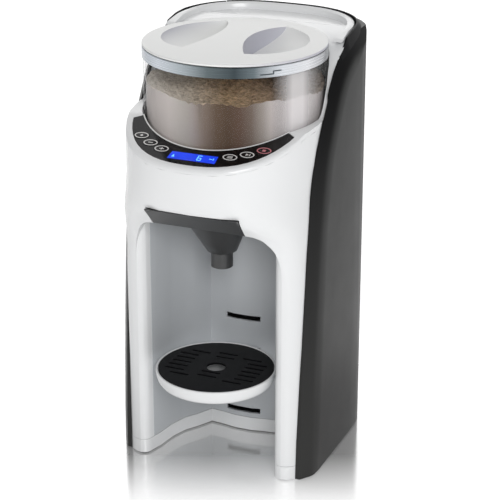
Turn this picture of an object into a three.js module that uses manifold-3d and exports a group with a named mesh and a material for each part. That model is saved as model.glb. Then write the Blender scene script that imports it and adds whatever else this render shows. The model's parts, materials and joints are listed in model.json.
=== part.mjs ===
// Baby formula maker: white front housing with a serving bay, dark side shells, clear powder hopper,
// crescent control panel, funnel drawer, drip tray and a lift-off water tank at the back.
// Millimetres, +Z up. The sizes are laid out round the hopper's upright axis, with the front towards -Y,
// and the finished group is moved so that its origin is under the middle of the whole machine.
import * as THREE from 'three';
import { mergeVertices } from 'three/addons/utils/BufferGeometryUtils.js';
import Module from 'manifold-3d';

const wasm = await Module();
wasm.setup();

// Clearances and small steps shared by many pieces
const gap = 0.3;
const hair = 0.1;
const overrun = 6;

// Overall body
const body = { halfWidth: 96, height: 388, wall: 2.6, ringWall: 3, standing: 1.5, seam: 14.5 };
const inward = { head: 9, columns: 9.6, deck: 9.8, hopper: 15, tank: 20, chassis: 33.5, bay: 34 };
const below = {
  panel: 74, hopperFoot: 89, hopperShoulder: 11.4, hopperTop: 3, bayRoof: 147, tankFloor: 190.7, tankRim: 10,
  hingeAxis: 8.5, lidUnderside: 5,
};

// Distances between neighbours along Y and under the tank
const apart = {
  hopperToTank: 7.2, tankToChassis: 19.7, chassisToBay: 52, tankToOval: 38.2, tankToValve: 21.8,
  tankToPump: 13.8, tankToHeater: 11.8, heaterToTank: 53.3, boardToTank: 43.3, gearToOutlet: 18,
  outletToNozzle: 30, outletToFunnel: 6,
};

// Powder hopper and its lid
const hopper = {
  radius: body.halfWidth - inward.hopper, wall: 2, neckStep: 1.8, foot: body.height - below.hopperFoot,
  shoulder: body.height - below.hopperShoulder, top: body.height - below.hopperTop, well: 1.6,
};
const hopperBase = { floor: 4.2, rim: 6, rimWall: 2, rimFoot: 3, bore: 8, outletRadius: 8.5, chuteWall: 3.5 };
const seat = { floor: 3, outset: 3.6, sleeveWall: 1.8, hubHole: 14, chuteDrop: 2, slopeShare: 0.6 };
const wheel = { height: 8, inset: 5, collar: 12, collarHeight: 3, spigot: 5, spigotHeight: 16, pockets: 6 };
const dog = { halfLength: 5, halfWidth: 1.5 };
const paddle = {
  hub: 9, hubHeight: 12, inset: 7, root: 7.5, arm: 5, sweep: 4.5, tip: 2, fingerInset: 3, fingerHeight: 26,
};
const lid = {
  radius: hopper.radius + 1, ringHeight: 9.5, ringWall: 2.2, rimHeight: 2, dome: 6, wall: 2.4, barHalf: 15,
  seam: 0.8, lip: 1,
};
const scoop = { halfLengthShare: 0.634, reachShare: 0.634, waistShare: 1.174, depth: 17, sunk: 1 };
const gasket = { width: 5, height: 1.6 };

// Head, columns and the crescent panel
const panel = {
  rise: 0.34, level: body.height - below.panel, width: 28.5, coverThickness: 4, thickness: 2.2, endAngle: 56,
  endGapAngle: 0.4, margin: 5.8, roll: 3.6,
};
const head = { overhang: 43.5, columnLean: 2, foldBack: 8, shellSetBack: 8 };
const frontReach = hopper.radius + panel.width;
const frontOval = { halfWidth: body.halfWidth - inward.head, powerShare: 2.5 };
const columnOval = {
  halfWidth: body.halfWidth - inward.columns, reach: frontReach - head.overhang, powerShare: 8,
};
const columnFront = columnOval.reach - head.columnLean;
const whiteHalfWidth = body.halfWidth - inward.deck;
const shoulder = { setBack: 36.5, run: 36 };
const shellRound = 14;
const button = {
  width: 14.2, depth: 9.6, proud: 0.5, crown: 0.35, height: 5.6, travel: 0.8, inset: 12, besideDisplay: 10.8,
  spacing: 0.35,
};
const display = { halfWidth: 21.5, depth: 10.4, skew: 1, glass: 1.6 };
const board = { thickness: 1.6, switchHeight: 1.1, switchHalf: 3, inset: 4.6, edge: 1, pastButton: 10 };

// Water tank, its lid and what stands behind the bay
const tank = {
  front: hopper.radius + apart.hopperToTank, depth: 51.2, halfWidth: body.halfWidth - inward.tank,
  floor: body.height - below.tankFloor, rim: body.height - below.tankRim, wall: 2.2, shoulderStep: 16.6,
  inset: 1.2, notchDepth: 9,
};
const tankMiddle = tank.halfWidth - tank.shoulderStep;
const hinge = {
  axisReach: tank.front + tank.depth, axisHeight: body.height - below.hingeAxis, barrel: 2.6, pin: 1.5,
  earInner: 26.3, earWidth: 6.5, earFoot: 8,
};
const rearReach = hinge.axisReach + hinge.barrel;
const rearOval = { centre: tank.front - apart.tankToOval, powerShare: 2.6 };
const tankLid = {
  underside: body.height - below.lidUnderside, plate: 3.2, rimHeight: 5, rimWidth: 8.5, rimInset: 1.2,
  skirt: 4, frontGap: 0.7, skirtWall: 2.1, skirtBack: 1, lip: 3, lipInset: 9,
};
const valve = {
  x: -35, y: tank.front + apart.tankToValve, bore: 4.5, disc: 7, stem: 1.6, thickness: 2, tip: 3,
};
const shelf = { thickness: 3, apron: 2 };
const chassis = {
  rear: tank.front - apart.tankToChassis, sheet: 2.5, halfWidth: body.halfWidth - inward.chassis, wing: 26,
};
const pump = {
  x: -35, y: tank.front + apart.tankToPump, radius: 18, length: 40, stub: 3, stubLength: 8, stubBack: 10,
};
const heater = {
  x: 40, y: tank.front + apart.tankToHeater, radius: 17, height: tank.floor - apart.heaterToTank, neck: 6,
};
const hose = { radius: 4, rise: 34, bend: 14, sideBend: 6, sag: 3, lift: 10, hole: 10 };
const mainBoard = { halfWidth: 27, bottom: 70, thickness: 1.6, standoff: 3, post: 2.4 };
const inlet = { halfWidth: 12, bottom: 22, height: 16, depth: 20, recess: 12, wall: 2, pin: 1.3, pinBack: 3 };
const vent = { halfWidth: 34, count: 7 };

// Drive under the hopper
const motor = { radius: 16, length: 32, shaft: 1.5, boss: 3.6, clear: 10 };
const gearDrive = {
  gearTeeth: 32, pinionTeeth: 8, width: 6, hub: 11, hubDrop: 1, pinionHub: 4, pinionHubRise: 2,
};
const gearShare = { backlash: 0.16, addendum: 0.82, dedendum: 1.15, rootSpread: 1.45, tipSpread: 0.55 };
const axle = { radius: 2.9, flange: 5, flangeHeight: 1.2, length: 8.4 };
const drivePlate = {
  thickness: 2.5, post: 3, postDrop: 13.9, margin: 6, rearMargin: 8, rearHalf: 30, frontReach: 10,
  rearReach: 22,
};

// Serving bay
const bay = {
  mouth: body.halfWidth - inward.bay, cornerRadius: 8, roof: body.height - below.bayRoof,
  back: chassis.rear - apart.chassisToBay,
  archRadiusX: 24.5, archRadiusZ: 41, creaseShare: 0.5485, bulge: 4, seamFront: 3, trayClear: 6.7,
};
const bayDepth = columnFront + bay.back;

// Values worked out for the drive
const motorReach = chassis.rear - chassis.sheet - motor.radius - motor.clear;
const gearModule = (2 * motorReach) / (gearDrive.gearTeeth + gearDrive.pinionTeeth);
const gearPitch = (gearModule * gearDrive.gearTeeth) / 2;
const pinionPitch = (gearModule * gearDrive.pinionTeeth) / 2;
const outletReach = gearPitch + apart.gearToOutlet;

// Funnel drawer and water nozzle
const nozzle = {
  x: 0, y: apart.outletToNozzle - outletReach, radius: 6, tip: 3.5, drop: 28, tipLength: 12, taper: 2,
  barb: 10, barbDrop: 10,
};
const funnel = {
  top: 33, throat: 14, spout: 10, wall: 1.8, centre: outletReach - apart.outletToFunnel, spoutShift: 12,
  coneHeight: 36, neckDrop: 6, spoutHeight: 16, rim: 1.6, rimWidth: 2.5, neckStep: 1.5,
};
const drawer = {
  halfWidth: 43.2, slotHalf: 38, plate: 2.5, faceThickness: 3, faceRise: 19, faceRun: 19.5, frontMargin: 5.3,
  notchBack: 12.3, inset: 0.4, backTrim: 1,
};

// Drip tray
const tray = {
  radius: bay.mouth - bay.trayClear, top: 95, height: 14.4, wall: 2, wallClear: 8.3, ledge: 2, slotPitch: 32,
  slotHalf: 17, slotHigh: 5.2, slotFront: 8.5, slotRear: 17.5, slotDrop: 9,
};
const trayCentre = tray.radius + tray.wallClear - bay.back;
const bracket = { halfWidth: 15, drop: 3, rise: 4, step: 2, tab: 5 };
const grate = {
  thickness: 2, slotLengthShare: 0.3436, slotWidth: 3, pitchShare: 0.1519, columnShare: 0.6148,
  fingerShare: 0.1627, margin: 3, sunk: 0.3, ease: 0.39,
};

// Base
const base = {
  plate: 3, foot: 7, footHeight: 2.2, bevel: 0.6, screwHead: 3.2, headHeight: 1.3, headRim: 0.5, screw: 1.6,
  screwLength: 5, ringBehindBay: 9.5, footFront: 30, footRear: 15.8,
};

// Colours and finish of each material
const finishes = {
  white: { color: 0xf1f2f2, roughness: 0.3, metalness: 0 },
  linerGrey: { color: 0xc6c8ca, roughness: 0.4, metalness: 0 },
  shellGrey: { color: 0x3d3c3b, roughness: 0.45, metalness: 0 },
  gloss: { color: 0x0d0c0d, roughness: 0.12, metalness: 0 },
  clear: { color: 0xcfd2d4, roughness: 0.05, metalness: 0, transparent: true, opacity: 0.3 },
  smoke: { color: 0x5d6064, roughness: 0.08, metalness: 0, transparent: true, opacity: 0.5 },
  silver: { color: 0xb4b9bf, roughness: 0.28, metalness: 0.8 },
  funnelGrey: { color: 0x494c4d, roughness: 0.4, metalness: 0 },
  black: { color: 0x17181a, roughness: 0.5, metalness: 0 },
  rubber: { color: 0x2a2a2b, roughness: 0.85, metalness: 0 },
  silicone: { color: 0xdfe3e4, roughness: 0.6, metalness: 0 },
  steel: { color: 0xc0c3c6, roughness: 0.3, metalness: 0.9 },
  blue: { color: 0x1f5cff, roughness: 0.15, metalness: 0 },
  green: { color: 0x1d5a38, roughness: 0.5, metalness: 0 },
  gear: { color: 0xe4e1d6, roughness: 0.5, metalness: 0 },
};

// Values worked out from the sizes above
const rearWall = hinge.axisReach - hinge.barrel + 2 * valve.stem - body.wall + 2 * gap;
const rearSpan = rearWall - rearOval.centre;
const whiteRearSpan = rearSpan - body.wall - gap;
const groundToPlate = base.footHeight + gap;
const floorInside = groundToPlate + base.plate + gap;
const seatTop = hopper.foot - gap;
const seatUnder = seatTop - seat.floor;
const seatRadius = hopper.radius + seat.outset;
const plateTop = seatUnder - drivePlate.postDrop;
const plateUnder = plateTop - drivePlate.thickness;
const panelTilt = Math.atan(panel.rise);
const gearBottom = plateTop + 2 * gap + axle.flangeHeight;
const buttonReach = hopper.radius + button.inset;
const housingFoot = body.seam + gap + hair;
const scoopReach = lid.radius * scoop.reachShare;
const scoopHalfLength = lid.radius * scoop.halfLengthShare;

// Solids and booleans

function solidOf(geometry) {
  const bare = geometry.index ? geometry.toNonIndexed() : geometry.clone();
  for (const name of Object.keys(bare.attributes)) {
    if (name !== 'position') bare.deleteAttribute(name);
  }
  const merged = mergeVertices(bare);
  const places = merged.attributes.position.array;
  const corners = Array.from(merged.index.array);
  let volume = 0;
  for (let i = 0; i < corners.length; i += 3) {
    const [a, b, c] = [0, 1, 2].map((k) => new THREE.Vector3().fromArray(places, 3 * corners[i + k]));
    volume += a.dot(b.cross(c));
  }
  if (volume < 0) {
    for (let i = 0; i < corners.length; i += 3) {
      [corners[i], corners[i + 1]] = [corners[i + 1], corners[i]];
    }
  }
  const vertProperties = new Float32Array(places);
  const mesh = new wasm.Mesh({ numProp: 3, vertProperties, triVerts: new Uint32Array(corners) });
  mesh.merge();
  return new wasm.Manifold(mesh);
}

function geometryOf(solid) {
  const mesh = solid.getMesh();
  const geometry = new THREE.BufferGeometry();
  geometry.setAttribute('position', new THREE.BufferAttribute(new Float32Array(mesh.vertProperties), 3));
  geometry.setIndex(Array.from(mesh.triVerts));
  const flat = geometry.toNonIndexed();
  flat.computeVertexNormals();
  return flat;
}

function join(first, ...others) {
  return others.reduce((whole, piece) => whole.add(piece), first);
}

function cut(whole, ...cutters) {
  return cutters.reduce((rest, cutter) => rest.subtract(cutter), whole);
}

function shapeOf(points) {
  return new THREE.Shape(points.map(([x, y]) => new THREE.Vector2(x, y)));
}

// An outline in plan, raised from one height to another
function raised(points, low, high) {
  const geometry = new THREE.ExtrudeGeometry(shapeOf(points), { depth: high - low, bevelEnabled: false });
  geometry.translate(0, 0, low);
  return solidOf(geometry);
}

// An outline of (y, z) points, run along X
function acrossX(points, left, right) {
  const geometry = new THREE.ExtrudeGeometry(shapeOf(points), { depth: right - left, bevelEnabled: false });
  geometry.rotateX(Math.PI / 2);
  geometry.rotateZ(Math.PI / 2);
  geometry.translate(left, 0, 0);
  return solidOf(geometry);
}

// An outline of (x, z) points, run along Y
function alongY(points, front, back) {
  const geometry = new THREE.ExtrudeGeometry(shapeOf(points), { depth: back - front, bevelEnabled: false });
  geometry.rotateX(Math.PI / 2);
  geometry.translate(0, back, 0);
  return solidOf(geometry);
}

function block(x0, x1, y0, y1, z0, z1) {
  const geometry = new THREE.BoxGeometry(x1 - x0, y1 - y0, z1 - z0);
  geometry.translate((x0 + x1) / 2, (y0 + y1) / 2, (z0 + z1) / 2);
  return solidOf(geometry);
}

function drum(x, y, radius, low, high, sides = 32) {
  const geometry = new THREE.CylinderGeometry(radius, radius, high - low, sides);
  geometry.rotateX(Math.PI / 2);
  geometry.translate(x, y, (low + high) / 2);
  return solidOf(geometry);
}

function drumAlongX(y, z, radius, left, right, sides = 16) {
  const geometry = new THREE.CylinderGeometry(radius, radius, right - left, sides);
  geometry.rotateZ(Math.PI / 2);
  geometry.translate((left + right) / 2, y, z);
  return solidOf(geometry);
}

function drumAlongY(x, z, radius, front, back, sides = 24) {
  const geometry = new THREE.CylinderGeometry(radius, radius, back - front, sides);
  geometry.translate(x, (front + back) / 2, z);
  return solidOf(geometry);
}

// A profile of (radius, height) points turned about an upright axis
function turned(points, sides = 40, x = 0, y = 0) {
  const profile = points.map(([radius, height]) => new THREE.Vector2(radius, height));
  const geometry = new THREE.LatheGeometry(profile, sides);
  geometry.rotateX(Math.PI / 2);
  geometry.translate(x, y, 0);
  return solidOf(geometry);
}

function closedProfile(points) {
  return [...points, points[0]];
}

// A round hose along a smooth route
function hoseAlong(route) {
  const curve = new THREE.CatmullRomCurve3(route.map((p) => new THREE.Vector3(...p)));
  const ring = (radius) => {
    const shape = new THREE.Shape();
    shape.absarc(0, 0, radius, 0, 2 * Math.PI);
    return shape;
  };
  const steps = 2 * route.length;
  const settings = { steps, curveSegments: 4, bevelEnabled: false, extrudePath: curve };
  return solidOf(new THREE.ExtrudeGeometry(ring(hose.radius), settings));
}

// Closed loops of the same number of points, skinned one after another and closed at both ends
function lofted(loops) {
  const places = [];
  const push = (...points) => points.forEach((p) => places.push(...p));
  const count = loops[0].length;
  for (let k = 0; k + 1 < loops.length; k += 1) {
    for (let i = 0; i < count; i += 1) {
      const j = (i + 1) % count;
      push(loops[k][i], loops[k][j], loops[k + 1][j]);
      push(loops[k][i], loops[k + 1][j], loops[k + 1][i]);
    }
  }
  const [first, last] = [loops[0], loops[loops.length - 1]];
  for (let i = 1; i + 1 < count; i += 1) {
    push(first[0], first[i + 1], first[i]);
    push(last[0], last[i], last[i + 1]);
  }
  const geometry = new THREE.BufferGeometry();
  geometry.setAttribute('position', new THREE.Float32BufferAttribute(places, 3));
  return geometry;
}

// Plan outlines

function ovalCorner(halfWidth, reach, power, turn) {
  const across = Math.abs(Math.cos(turn)) ** (2 / power);
  const along = Math.abs(Math.sin(turn)) ** (2 / power);
  return [halfWidth * across * Math.sign(Math.cos(turn)), reach * along];
}

function ovalHalf(halfWidth, reach, power, steps = 22) {
  const points = [];
  for (let i = 0; i <= steps; i += 1) {
    const turn = (Math.PI * i) / steps;
    points.push(i === steps ? [-halfWidth, 0] : ovalCorner(halfWidth, reach, power, turn));
  }
  return points;
}

// Front oval of the head, closed by a straight back edge
function frontPlan(inset, back) {
  const points = ovalHalf(frontOval.halfWidth - inset, frontReach - inset, frontOval.powerShare);
  const front = points.map(([x, y]) => [x, -y]).filter(([, y]) => y < back - gap);
  return [...front, [inset - frontOval.halfWidth, back], [frontOval.halfWidth - inset, back]];
}

// Rear oval of the body, closed by a straight front edge
function rearPlan(halfWidth, span, front) {
  const points = ovalHalf(halfWidth, span, rearOval.powerShare);
  const rear = points.map(([x, y]) => [x, y + rearOval.centre]);
  return [...rear, [-halfWidth, front], [halfWidth, front]];
}

function behind(front) {
  const reach = body.halfWidth * 2;
  return block(-reach, reach, front, rearReach * 2, -2 * overrun, body.height * 2);
}

// Bay seen from above: rounded column corners, sides that draw in, and a creased back wall
function bayPlan(outset) {
  const right = [];
  const arcCentre = [bay.mouth + bay.cornerRadius, bay.cornerRadius - columnFront];
  const mouthRadius = bay.cornerRadius - outset;
  right.push([arcCentre[0], -frontReach - overrun]);
  for (let i = 0; i <= 4; i += 1) {
    const turn = (Math.PI / 2) * (i / 4);
    right.push([arcCentre[0] - mouthRadius * Math.sin(turn), arcCentre[1] - mouthRadius * Math.cos(turn)]);
  }
  const sideShares = [[0.95, 0.24], [0.9, 0.5], [0.81, 0.71], [0.68, 0.86]];
  for (const [across, along] of sideShares) {
    right.push([bay.mouth * across + outset, along * bayDepth - columnFront + outset * along]);
  }
  const crease = bay.mouth * bay.creaseShare;
  right.push([crease + outset * 0.4, bay.back + bay.bulge + outset]);
  right.push([crease * 0.6, bay.back + bay.bulge * 0.6 + outset]);
  right.push([crease * 0.25, bay.back + outset]);
  const left = right.map(([x, y]) => [-x, y]).reverse();
  return [...right, ...left];
}

// Bay seen from the front: straight sides under a rounded arch
function bayArch(outset) {
  const points = [];
  const half = bay.mouth + bay.cornerRadius + outset;
  const spring = bay.roof - bay.archRadiusZ;
  points.push([half, -overrun]);
  for (let i = 0; i <= 8; i += 1) {
    const turn = (Math.PI / 2) * (i / 8);
    const across = half - (bay.archRadiusX + outset) * (1 - Math.cos(turn));
    points.push([across, spring + (bay.archRadiusZ + outset) * Math.sin(turn)]);
  }
  const left = points.map(([x, z]) => [-x, z]).reverse();
  return [...points, ...left];
}

function bayHollow(outset) {
  const plan = raised(bayPlan(outset), -overrun, bay.roof + outset);
  return plan.intersect(alongY(bayArch(outset), -frontReach - 2 * overrun, bayDepth));
}

// Side outlines

// Height of the panel slope at a place along Y
function panelHeight(y) {
  return panel.level + panel.rise * (hopper.radius + y);
}

// Top line of the white cover: panel slope, near-level shoulder, then the rise beside the hopper
function coverLine(drop) {
  const front = -frontReach - overrun;
  const start = shoulder.setBack - hopper.radius;
  const end = start + shoulder.run;
  const run = hopper.radius + lid.radius * 0.1 - end;
  const rise = body.height - panelHeight(start);
  const riseShares = [
    [0.05, 0.1], [0.1, 0.22], [0.17, 0.39], [0.25, 0.61], [0.36, 0.79], [0.52, 0.92], [0.75, 0.98],
  ];
  const points = [
    [front, panelHeight(front)], [start, panelHeight(start)], [end, panelHeight(start) + rise * 0.045],
    ...riseShares.map(([along, up]) => [end + run * along, panelHeight(start) + rise * up]),
    [end + run, body.height], [rearReach + overrun, body.height],
  ];
  return points.map(([y, z]) => [y, z - drop]);
}

function underCover(drop) {
  const line = coverLine(drop);
  return [...line, [rearReach + overrun, -overrun], [-frontReach - overrun, -overrun]];
}

// White front from the columns up into the overhanging head, one oval at each height
function frontBulk(inset, back) {
  const stations = [
    [-0.05, 0], [0.78, 0], [0.86, 0.04], [0.93, 0.13], [0.98, 0.3], [1.02, 0.53], [1.06, 0.76], [1.11, 0.93],
    [1.17, 1], [1.7, 1],
  ];
  const blend = (from, to, share) => from + (to - from) * share;
  const loops = stations.map(([up, out]) => {
    const half = blend(columnOval.halfWidth, frontOval.halfWidth, out) - inset;
    const reach = blend(columnOval.reach, frontReach, out) - inset;
    const power = blend(columnOval.powerShare, frontOval.powerShare, out ** 0.5);
    const front = ovalHalf(half, reach, power, 16).map(([x, y]) => [x, -y, bay.roof * up + inset * 0.7]);
    const level = front[0][2];
    return [...front, [-half, back, level], [half, back, level]];
  });
  return solidOf(lofted(loops));
}

// Edge of the side shells: up the front, over the shoulder and along the top
function shellEdge() {
  const reach = columnOval.reach - head.shellSetBack;
  const shares = [
    [0, 0], [0.01, 0.1], [0.06, 0.25], [0.11, 0.36], [0.17, 0.47], [0.23, 0.56], [0.28, 0.62], [0.37, 0.69],
    [0.46, 0.745], [0.57, 0.79], [0.71, 0.83], [0.88, 0.87], [1.05, 0.91], [1.26, 0.944], [1.5, 0.969],
    [1.75, 0.985], [2.1, 0.996], [2.6, 1],
  ];
  return shares.map(([along, up]) => [reach * (along - 1), body.height * up]);
}

function insetLine(points, distance) {
  return points.map((point, i) => {
    const before = points[Math.max(i - 1, 0)];
    const after = points[Math.min(i + 1, points.length - 1)];
    const length = Math.hypot(after[0] - before[0], after[1] - before[1]);
    const normal = [(after[1] - before[1]) / length, -(after[0] - before[0]) / length];
    return [point[0] + normal[0] * distance, point[1] + normal[1] * distance];
  });
}

// A solid that follows the shell edge, drawn in by a different distance at each place across
function shellBulk(rings) {
  const rear = rearReach + 2 * overrun;
  const loops = rings.map(([across, inset]) => {
    const line = insetLine(shellEdge(), inset);
    const last = line[line.length - 1];
    const loop = [...line, [rear, last[1]], [rear, -overrun * 2], [line[0][0], -overrun * 2]];
    return loop.map(([y, z]) => [across, y, z]);
  });
  const places = [];
  const push = (...points) => points.forEach((p) => places.push(...p));
  for (let k = 0; k + 1 < loops.length; k += 1) {
    const [here, next] = [loops[k], loops[k + 1]];
    for (let i = 0; i < here.length; i += 1) {
      const j = (i + 1) % here.length;
      push(here[i], next[j], here[j]);
      push(here[i], next[i], next[j]);
    }
  }
  for (const [loop, flip] of [[loops[0], false], [loops[loops.length - 1], true]]) {
    const flat = loop.map(([, y, z]) => new THREE.Vector2(y, z));
    for (const [a, b, c] of THREE.ShapeUtils.triangulateShape(flat, [])) {
      if (flip) push(loop[a], loop[b], loop[c]);
      else push(loop[a], loop[c], loop[b]);
    }
  }
  const geometry = new THREE.BufferGeometry();
  geometry.setAttribute('position', new THREE.Float32BufferAttribute(places, 3));
  return solidOf(geometry);
}

function mirrored(solid) {
  const geometry = geometryOf(solid);
  geometry.scale(-1, 1, 1);
  return solidOf(geometry);
}

// Room that the white pieces leave for the shells
function shellRoom() {
  const line = insetLine(shellEdge(), -gap);
  const rear = rearReach + overrun;
  const last = line[line.length - 1];
  const outline = [...line, [rear, last[1] + body.height], [rear, -overrun], [line[0][0], -overrun]];
  const right = acrossX(outline, whiteHalfWidth, body.halfWidth + overrun);
  return join(right, mirrored(right));
}

// Pieces of the case

function sideShell() {
  const inner = whiteHalfWidth + gap;
  const band = body.halfWidth - inner;
  const skin = body.wall;
  const high = body.height + overrun;
  const roundShares = [[-4.2, 0], [0, 0], [0.36, 0.36], [0.72, 0.71], [0.9, 1], [1.1, 2.43]];
  const hollowShares = [[-4.2, 1.2], [0, 1.2], [0.26, 2.7], [0.55, 4.6], [0.74, 7], [1, 14]];
  const rings = roundShares.map(([across, inset]) => [inner + band * across, shellRound * inset]);
  const hollowRings = hollowShares.map(([across, inset]) => [inner + band * across, skin * inset]);
  const outer = raised(rearPlan(body.halfWidth, rearSpan, -frontReach), body.standing, high);
  const outerHollow = raised(rearPlan(body.halfWidth - skin, rearSpan - skin, -frontReach), -overrun, high);
  const inside = join(
    raised(rearPlan(inner, rearSpan - skin, -overrun), -overrun, high),
    frontBulk(-gap, 0),
    raised(frontPlan(-gap, 0), bay.roof * 1.2, high),
  );
  const side = block(tankMiddle + 2 * gap, body.halfWidth + overrun, -frontReach, rearReach, -overrun, high);
  const whole = outer.intersect(shellBulk(rings)).intersect(side);
  return cut(whole, outerHollow.intersect(shellBulk(hollowRings)), inside);
}

function frontHousing() {
  const width = body.halfWidth;
  const outer = cut(
    frontBulk(0, overrun).intersect(acrossX(underCover(panel.coverThickness + gap), -width, width)),
    behind(-head.foldBack),
    block(-width, width, -frontReach - overrun, 2 * overrun, -3 * overrun, housingFoot),
  );
  const inner = frontBulk(body.ringWall, 2 * overrun);
  const beforeLiner = block(-width, width, -2 * frontReach, linerFront() - gap, -overrun, body.height);
  const lining = bayHollow(body.wall).intersect(beforeLiner);
  const notchHalf = drawer.halfWidth + 2 * gap;
  const notchBack = drawerFront() + drawer.notchBack;
  const notchTop = drawerTop() + 2 * gap;
  const notch = block(-notchHalf, notchHalf, -frontReach - overrun, notchBack, bay.roof - overrun, notchTop);
  const seatHole = drum(0, 0, seatRadius + gap, seatUnder - gap, body.height + overrun, 72);
  return cut(outer, cut(inner, lining), bayHollow(0), shellRoom(), notch, drawerSlot(), seatHole);
}

function linerFront() {
  return bay.cornerRadius + bay.seamFront - columnFront;
}

function drawerFront() {
  return -funnel.centre - funnel.top - drawer.frontMargin;
}

function drawerTop() {
  return bay.roof + drawer.faceRise;
}

function drawerSlot() {
  const half = drawer.slotHalf;
  return block(-half, half, -frontReach - overrun, -head.foldBack, bay.roof - overrun, bay.roof + overrun);
}

function bayLiner() {
  const keep = block(-body.halfWidth, body.halfWidth, linerFront(), rearReach, housingFoot, body.height);
  const lining = cut(bayHollow(body.wall).intersect(keep), bayHollow(0), drawerSlot());
  const [front, rear] = [bay.back - tray.slotFront, bay.back + tray.slotRear];
  const high = tray.slotHigh / 2;
  const half = tray.slotHalf;
  const slots = traySlotHeights().map((z) => block(-half, half, front, rear, z - high, z + high));
  return cut(lining, ...slots);
}

function traySlotHeights() {
  const top = tray.top - tray.slotDrop;
  return [-2, -1, 0, 1].map((step) => top + step * tray.slotPitch);
}

function baseRing() {
  const back = bay.back + base.ringBehindBay;
  const level = block(-body.halfWidth, body.halfWidth, -frontReach, back, body.standing, body.seam);
  const outer = frontBulk(0, back).intersect(level);
  const inner = frontBulk(body.ringWall, back + overrun);
  return cut(outer, cut(inner, bayHollow(body.ringWall)), bayHollow(0), shellRoom());
}

function basePlate() {
  const low = groundToPlate;
  const high = low + base.plate;
  const inset = body.ringWall + gap;
  const level = block(-body.halfWidth, body.halfWidth, -frontReach, rearOval.centre, low, high);
  const front = frontBulk(inset, rearOval.centre).intersect(level);
  const rear = raised(rearPlan(whiteHalfWidth - inset, rearSpan - body.wall - 2 * gap, 0), low, high);
  const holes = screwPlaces().map(([x, y]) => drum(x, y, base.screw + gap, low - overrun, high + overrun, 8));
  return cut(join(front, rear), bayHollow(inset), ...holes);
}

function footPlaces() {
  const across = whiteHalfWidth * 0.84;
  const front = base.footFront - columnOval.reach;
  const rear = tank.front + base.footRear;
  return [[-across, front], [across, front], [-across * 0.9, rear], [across * 0.9, rear]];
}

function screwPlaces() {
  const across = chassis.halfWidth - overrun;
  const near = chassis.rear - chassis.wing * 0.7;
  const far = chassis.rear + overrun;
  return [[-across, near], [across, near], [-across, far], [across, far]];
}

function rubberFoot([x, y]) {
  const top = base.footHeight;
  const r = base.foot;
  return turned([[0, 0], [r - base.bevel, 0], [r, base.bevel], [r, top], [0, top]], 18, x, y);
}

function baseScrew([x, y]) {
  const head = groundToPlate - gap;
  const foot = head - base.headHeight;
  const reach = groundToPlate + base.plate + base.screwLength;
  return turned([
    [0, foot], [base.screwHead * 0.7, foot], [base.screwHead, head - base.headRim], [base.screwHead, head],
    [base.screw, head], [base.screw, reach], [0, reach],
  ], 8, x, y);
}

function rearCover() {
  const half = tankMiddle + gap;
  const high = tank.floor - shelf.thickness - 2 * gap;
  const sheet = cut(
    raised(rearPlan(body.halfWidth, rearSpan, rearOval.centre), body.standing, high),
    raised(rearPlan(body.halfWidth - body.wall, rearSpan - body.wall, 0), -overrun, high + overrun),
  ).intersect(block(-half, half, rearOval.centre, rearReach, -overrun, high + overrun));
  const vents = [];
  for (let row = 0; row < vent.count; row += 1) {
    const z = high * (0.5 + row * 0.0465);
    vents.push(block(-vent.halfWidth, vent.halfWidth, rearOval.centre, rearReach, z, z + high * 0.0175));
  }
  const socketHalf = inlet.halfWidth + gap;
  const socketTop = inlet.bottom + inlet.height + gap;
  const socket = block(-socketHalf, socketHalf, rearOval.centre, rearReach, inlet.bottom - gap, socketTop);
  return cut(sheet, ...vents, socket);
}

function topCover() {
  const back = tankLidFront() - gap;
  const plan = join(
    raised(frontPlan(0, rearOval.centre), 0, body.height + overrun),
    raised(rearPlan(whiteHalfWidth, whiteRearSpan, 0), 0, body.height + overrun),
  );
  const width = body.halfWidth;
  const band = cut(
    plan.intersect(acrossX(underCover(0), -width, width)),
    acrossX(underCover(panel.coverThickness), -width, width),
    behind(back),
  );
  const well = drum(0, 0, hopper.radius + hopper.well, 0, body.height * 2, 48);
  const bar = cut(deckRim(body.height - panel.coverThickness / 2), behind(back));
  const rim = bar.intersect(acrossX(insideRise(), -width, width));
  const whole = join(cut(band, shellRoom()), rim);
  const holes = buttonPlaces().map((place) => buttonHole(place));
  return cut(whole, well, panelRecess(), rolledEdge(), ...holes, displayOpening());
}

// What is taken off the cover's front edge to roll it over; the roll dies out towards the shoulder
function rolledEdge() {
  const end = shoulder.setBack - hopper.radius;
  const faded = hair / panel.roll;
  const level = (inset, lift) => {
    const outline = ovalHalf(frontOval.halfWidth, frontReach, frontOval.powerShare);
    const front = outline.map(([x, reach]) => {
      const fade = Math.min(1, Math.max(faded, (end + reach) / shoulder.run));
      const drawnIn = inset * fade - hair;
      const y = -reach * (1 - drawnIn / frontReach);
      return [x * (1 - drawnIn / frontOval.halfWidth), y, panelHeight(y) + lift(fade)];
    });
    const half = frontOval.halfWidth + hair;
    const back = panelHeight(overrun) + lift(faded);
    return [...front, [-half, overrun, back], [half, overrun, back]];
  };
  const loops = [level(0, () => -2 * panel.coverThickness)];
  const steps = 5;
  for (let i = 0; i <= steps; i += 1) {
    const turn = (Math.PI / 2) * (i / steps);
    loops.push(level(panel.roll * (1 - Math.cos(turn)), (fade) => panel.roll * fade * (Math.sin(turn) - 1)));
  }
  loops.push(level(panel.roll, () => overrun));
  const width = body.halfWidth;
  return cut(block(-width, width, -frontReach - overrun, end, 0, body.height), solidOf(lofted(loops)));
}

function tankLidFront() {
  return tank.front - tankLid.frontGap;
}

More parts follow.
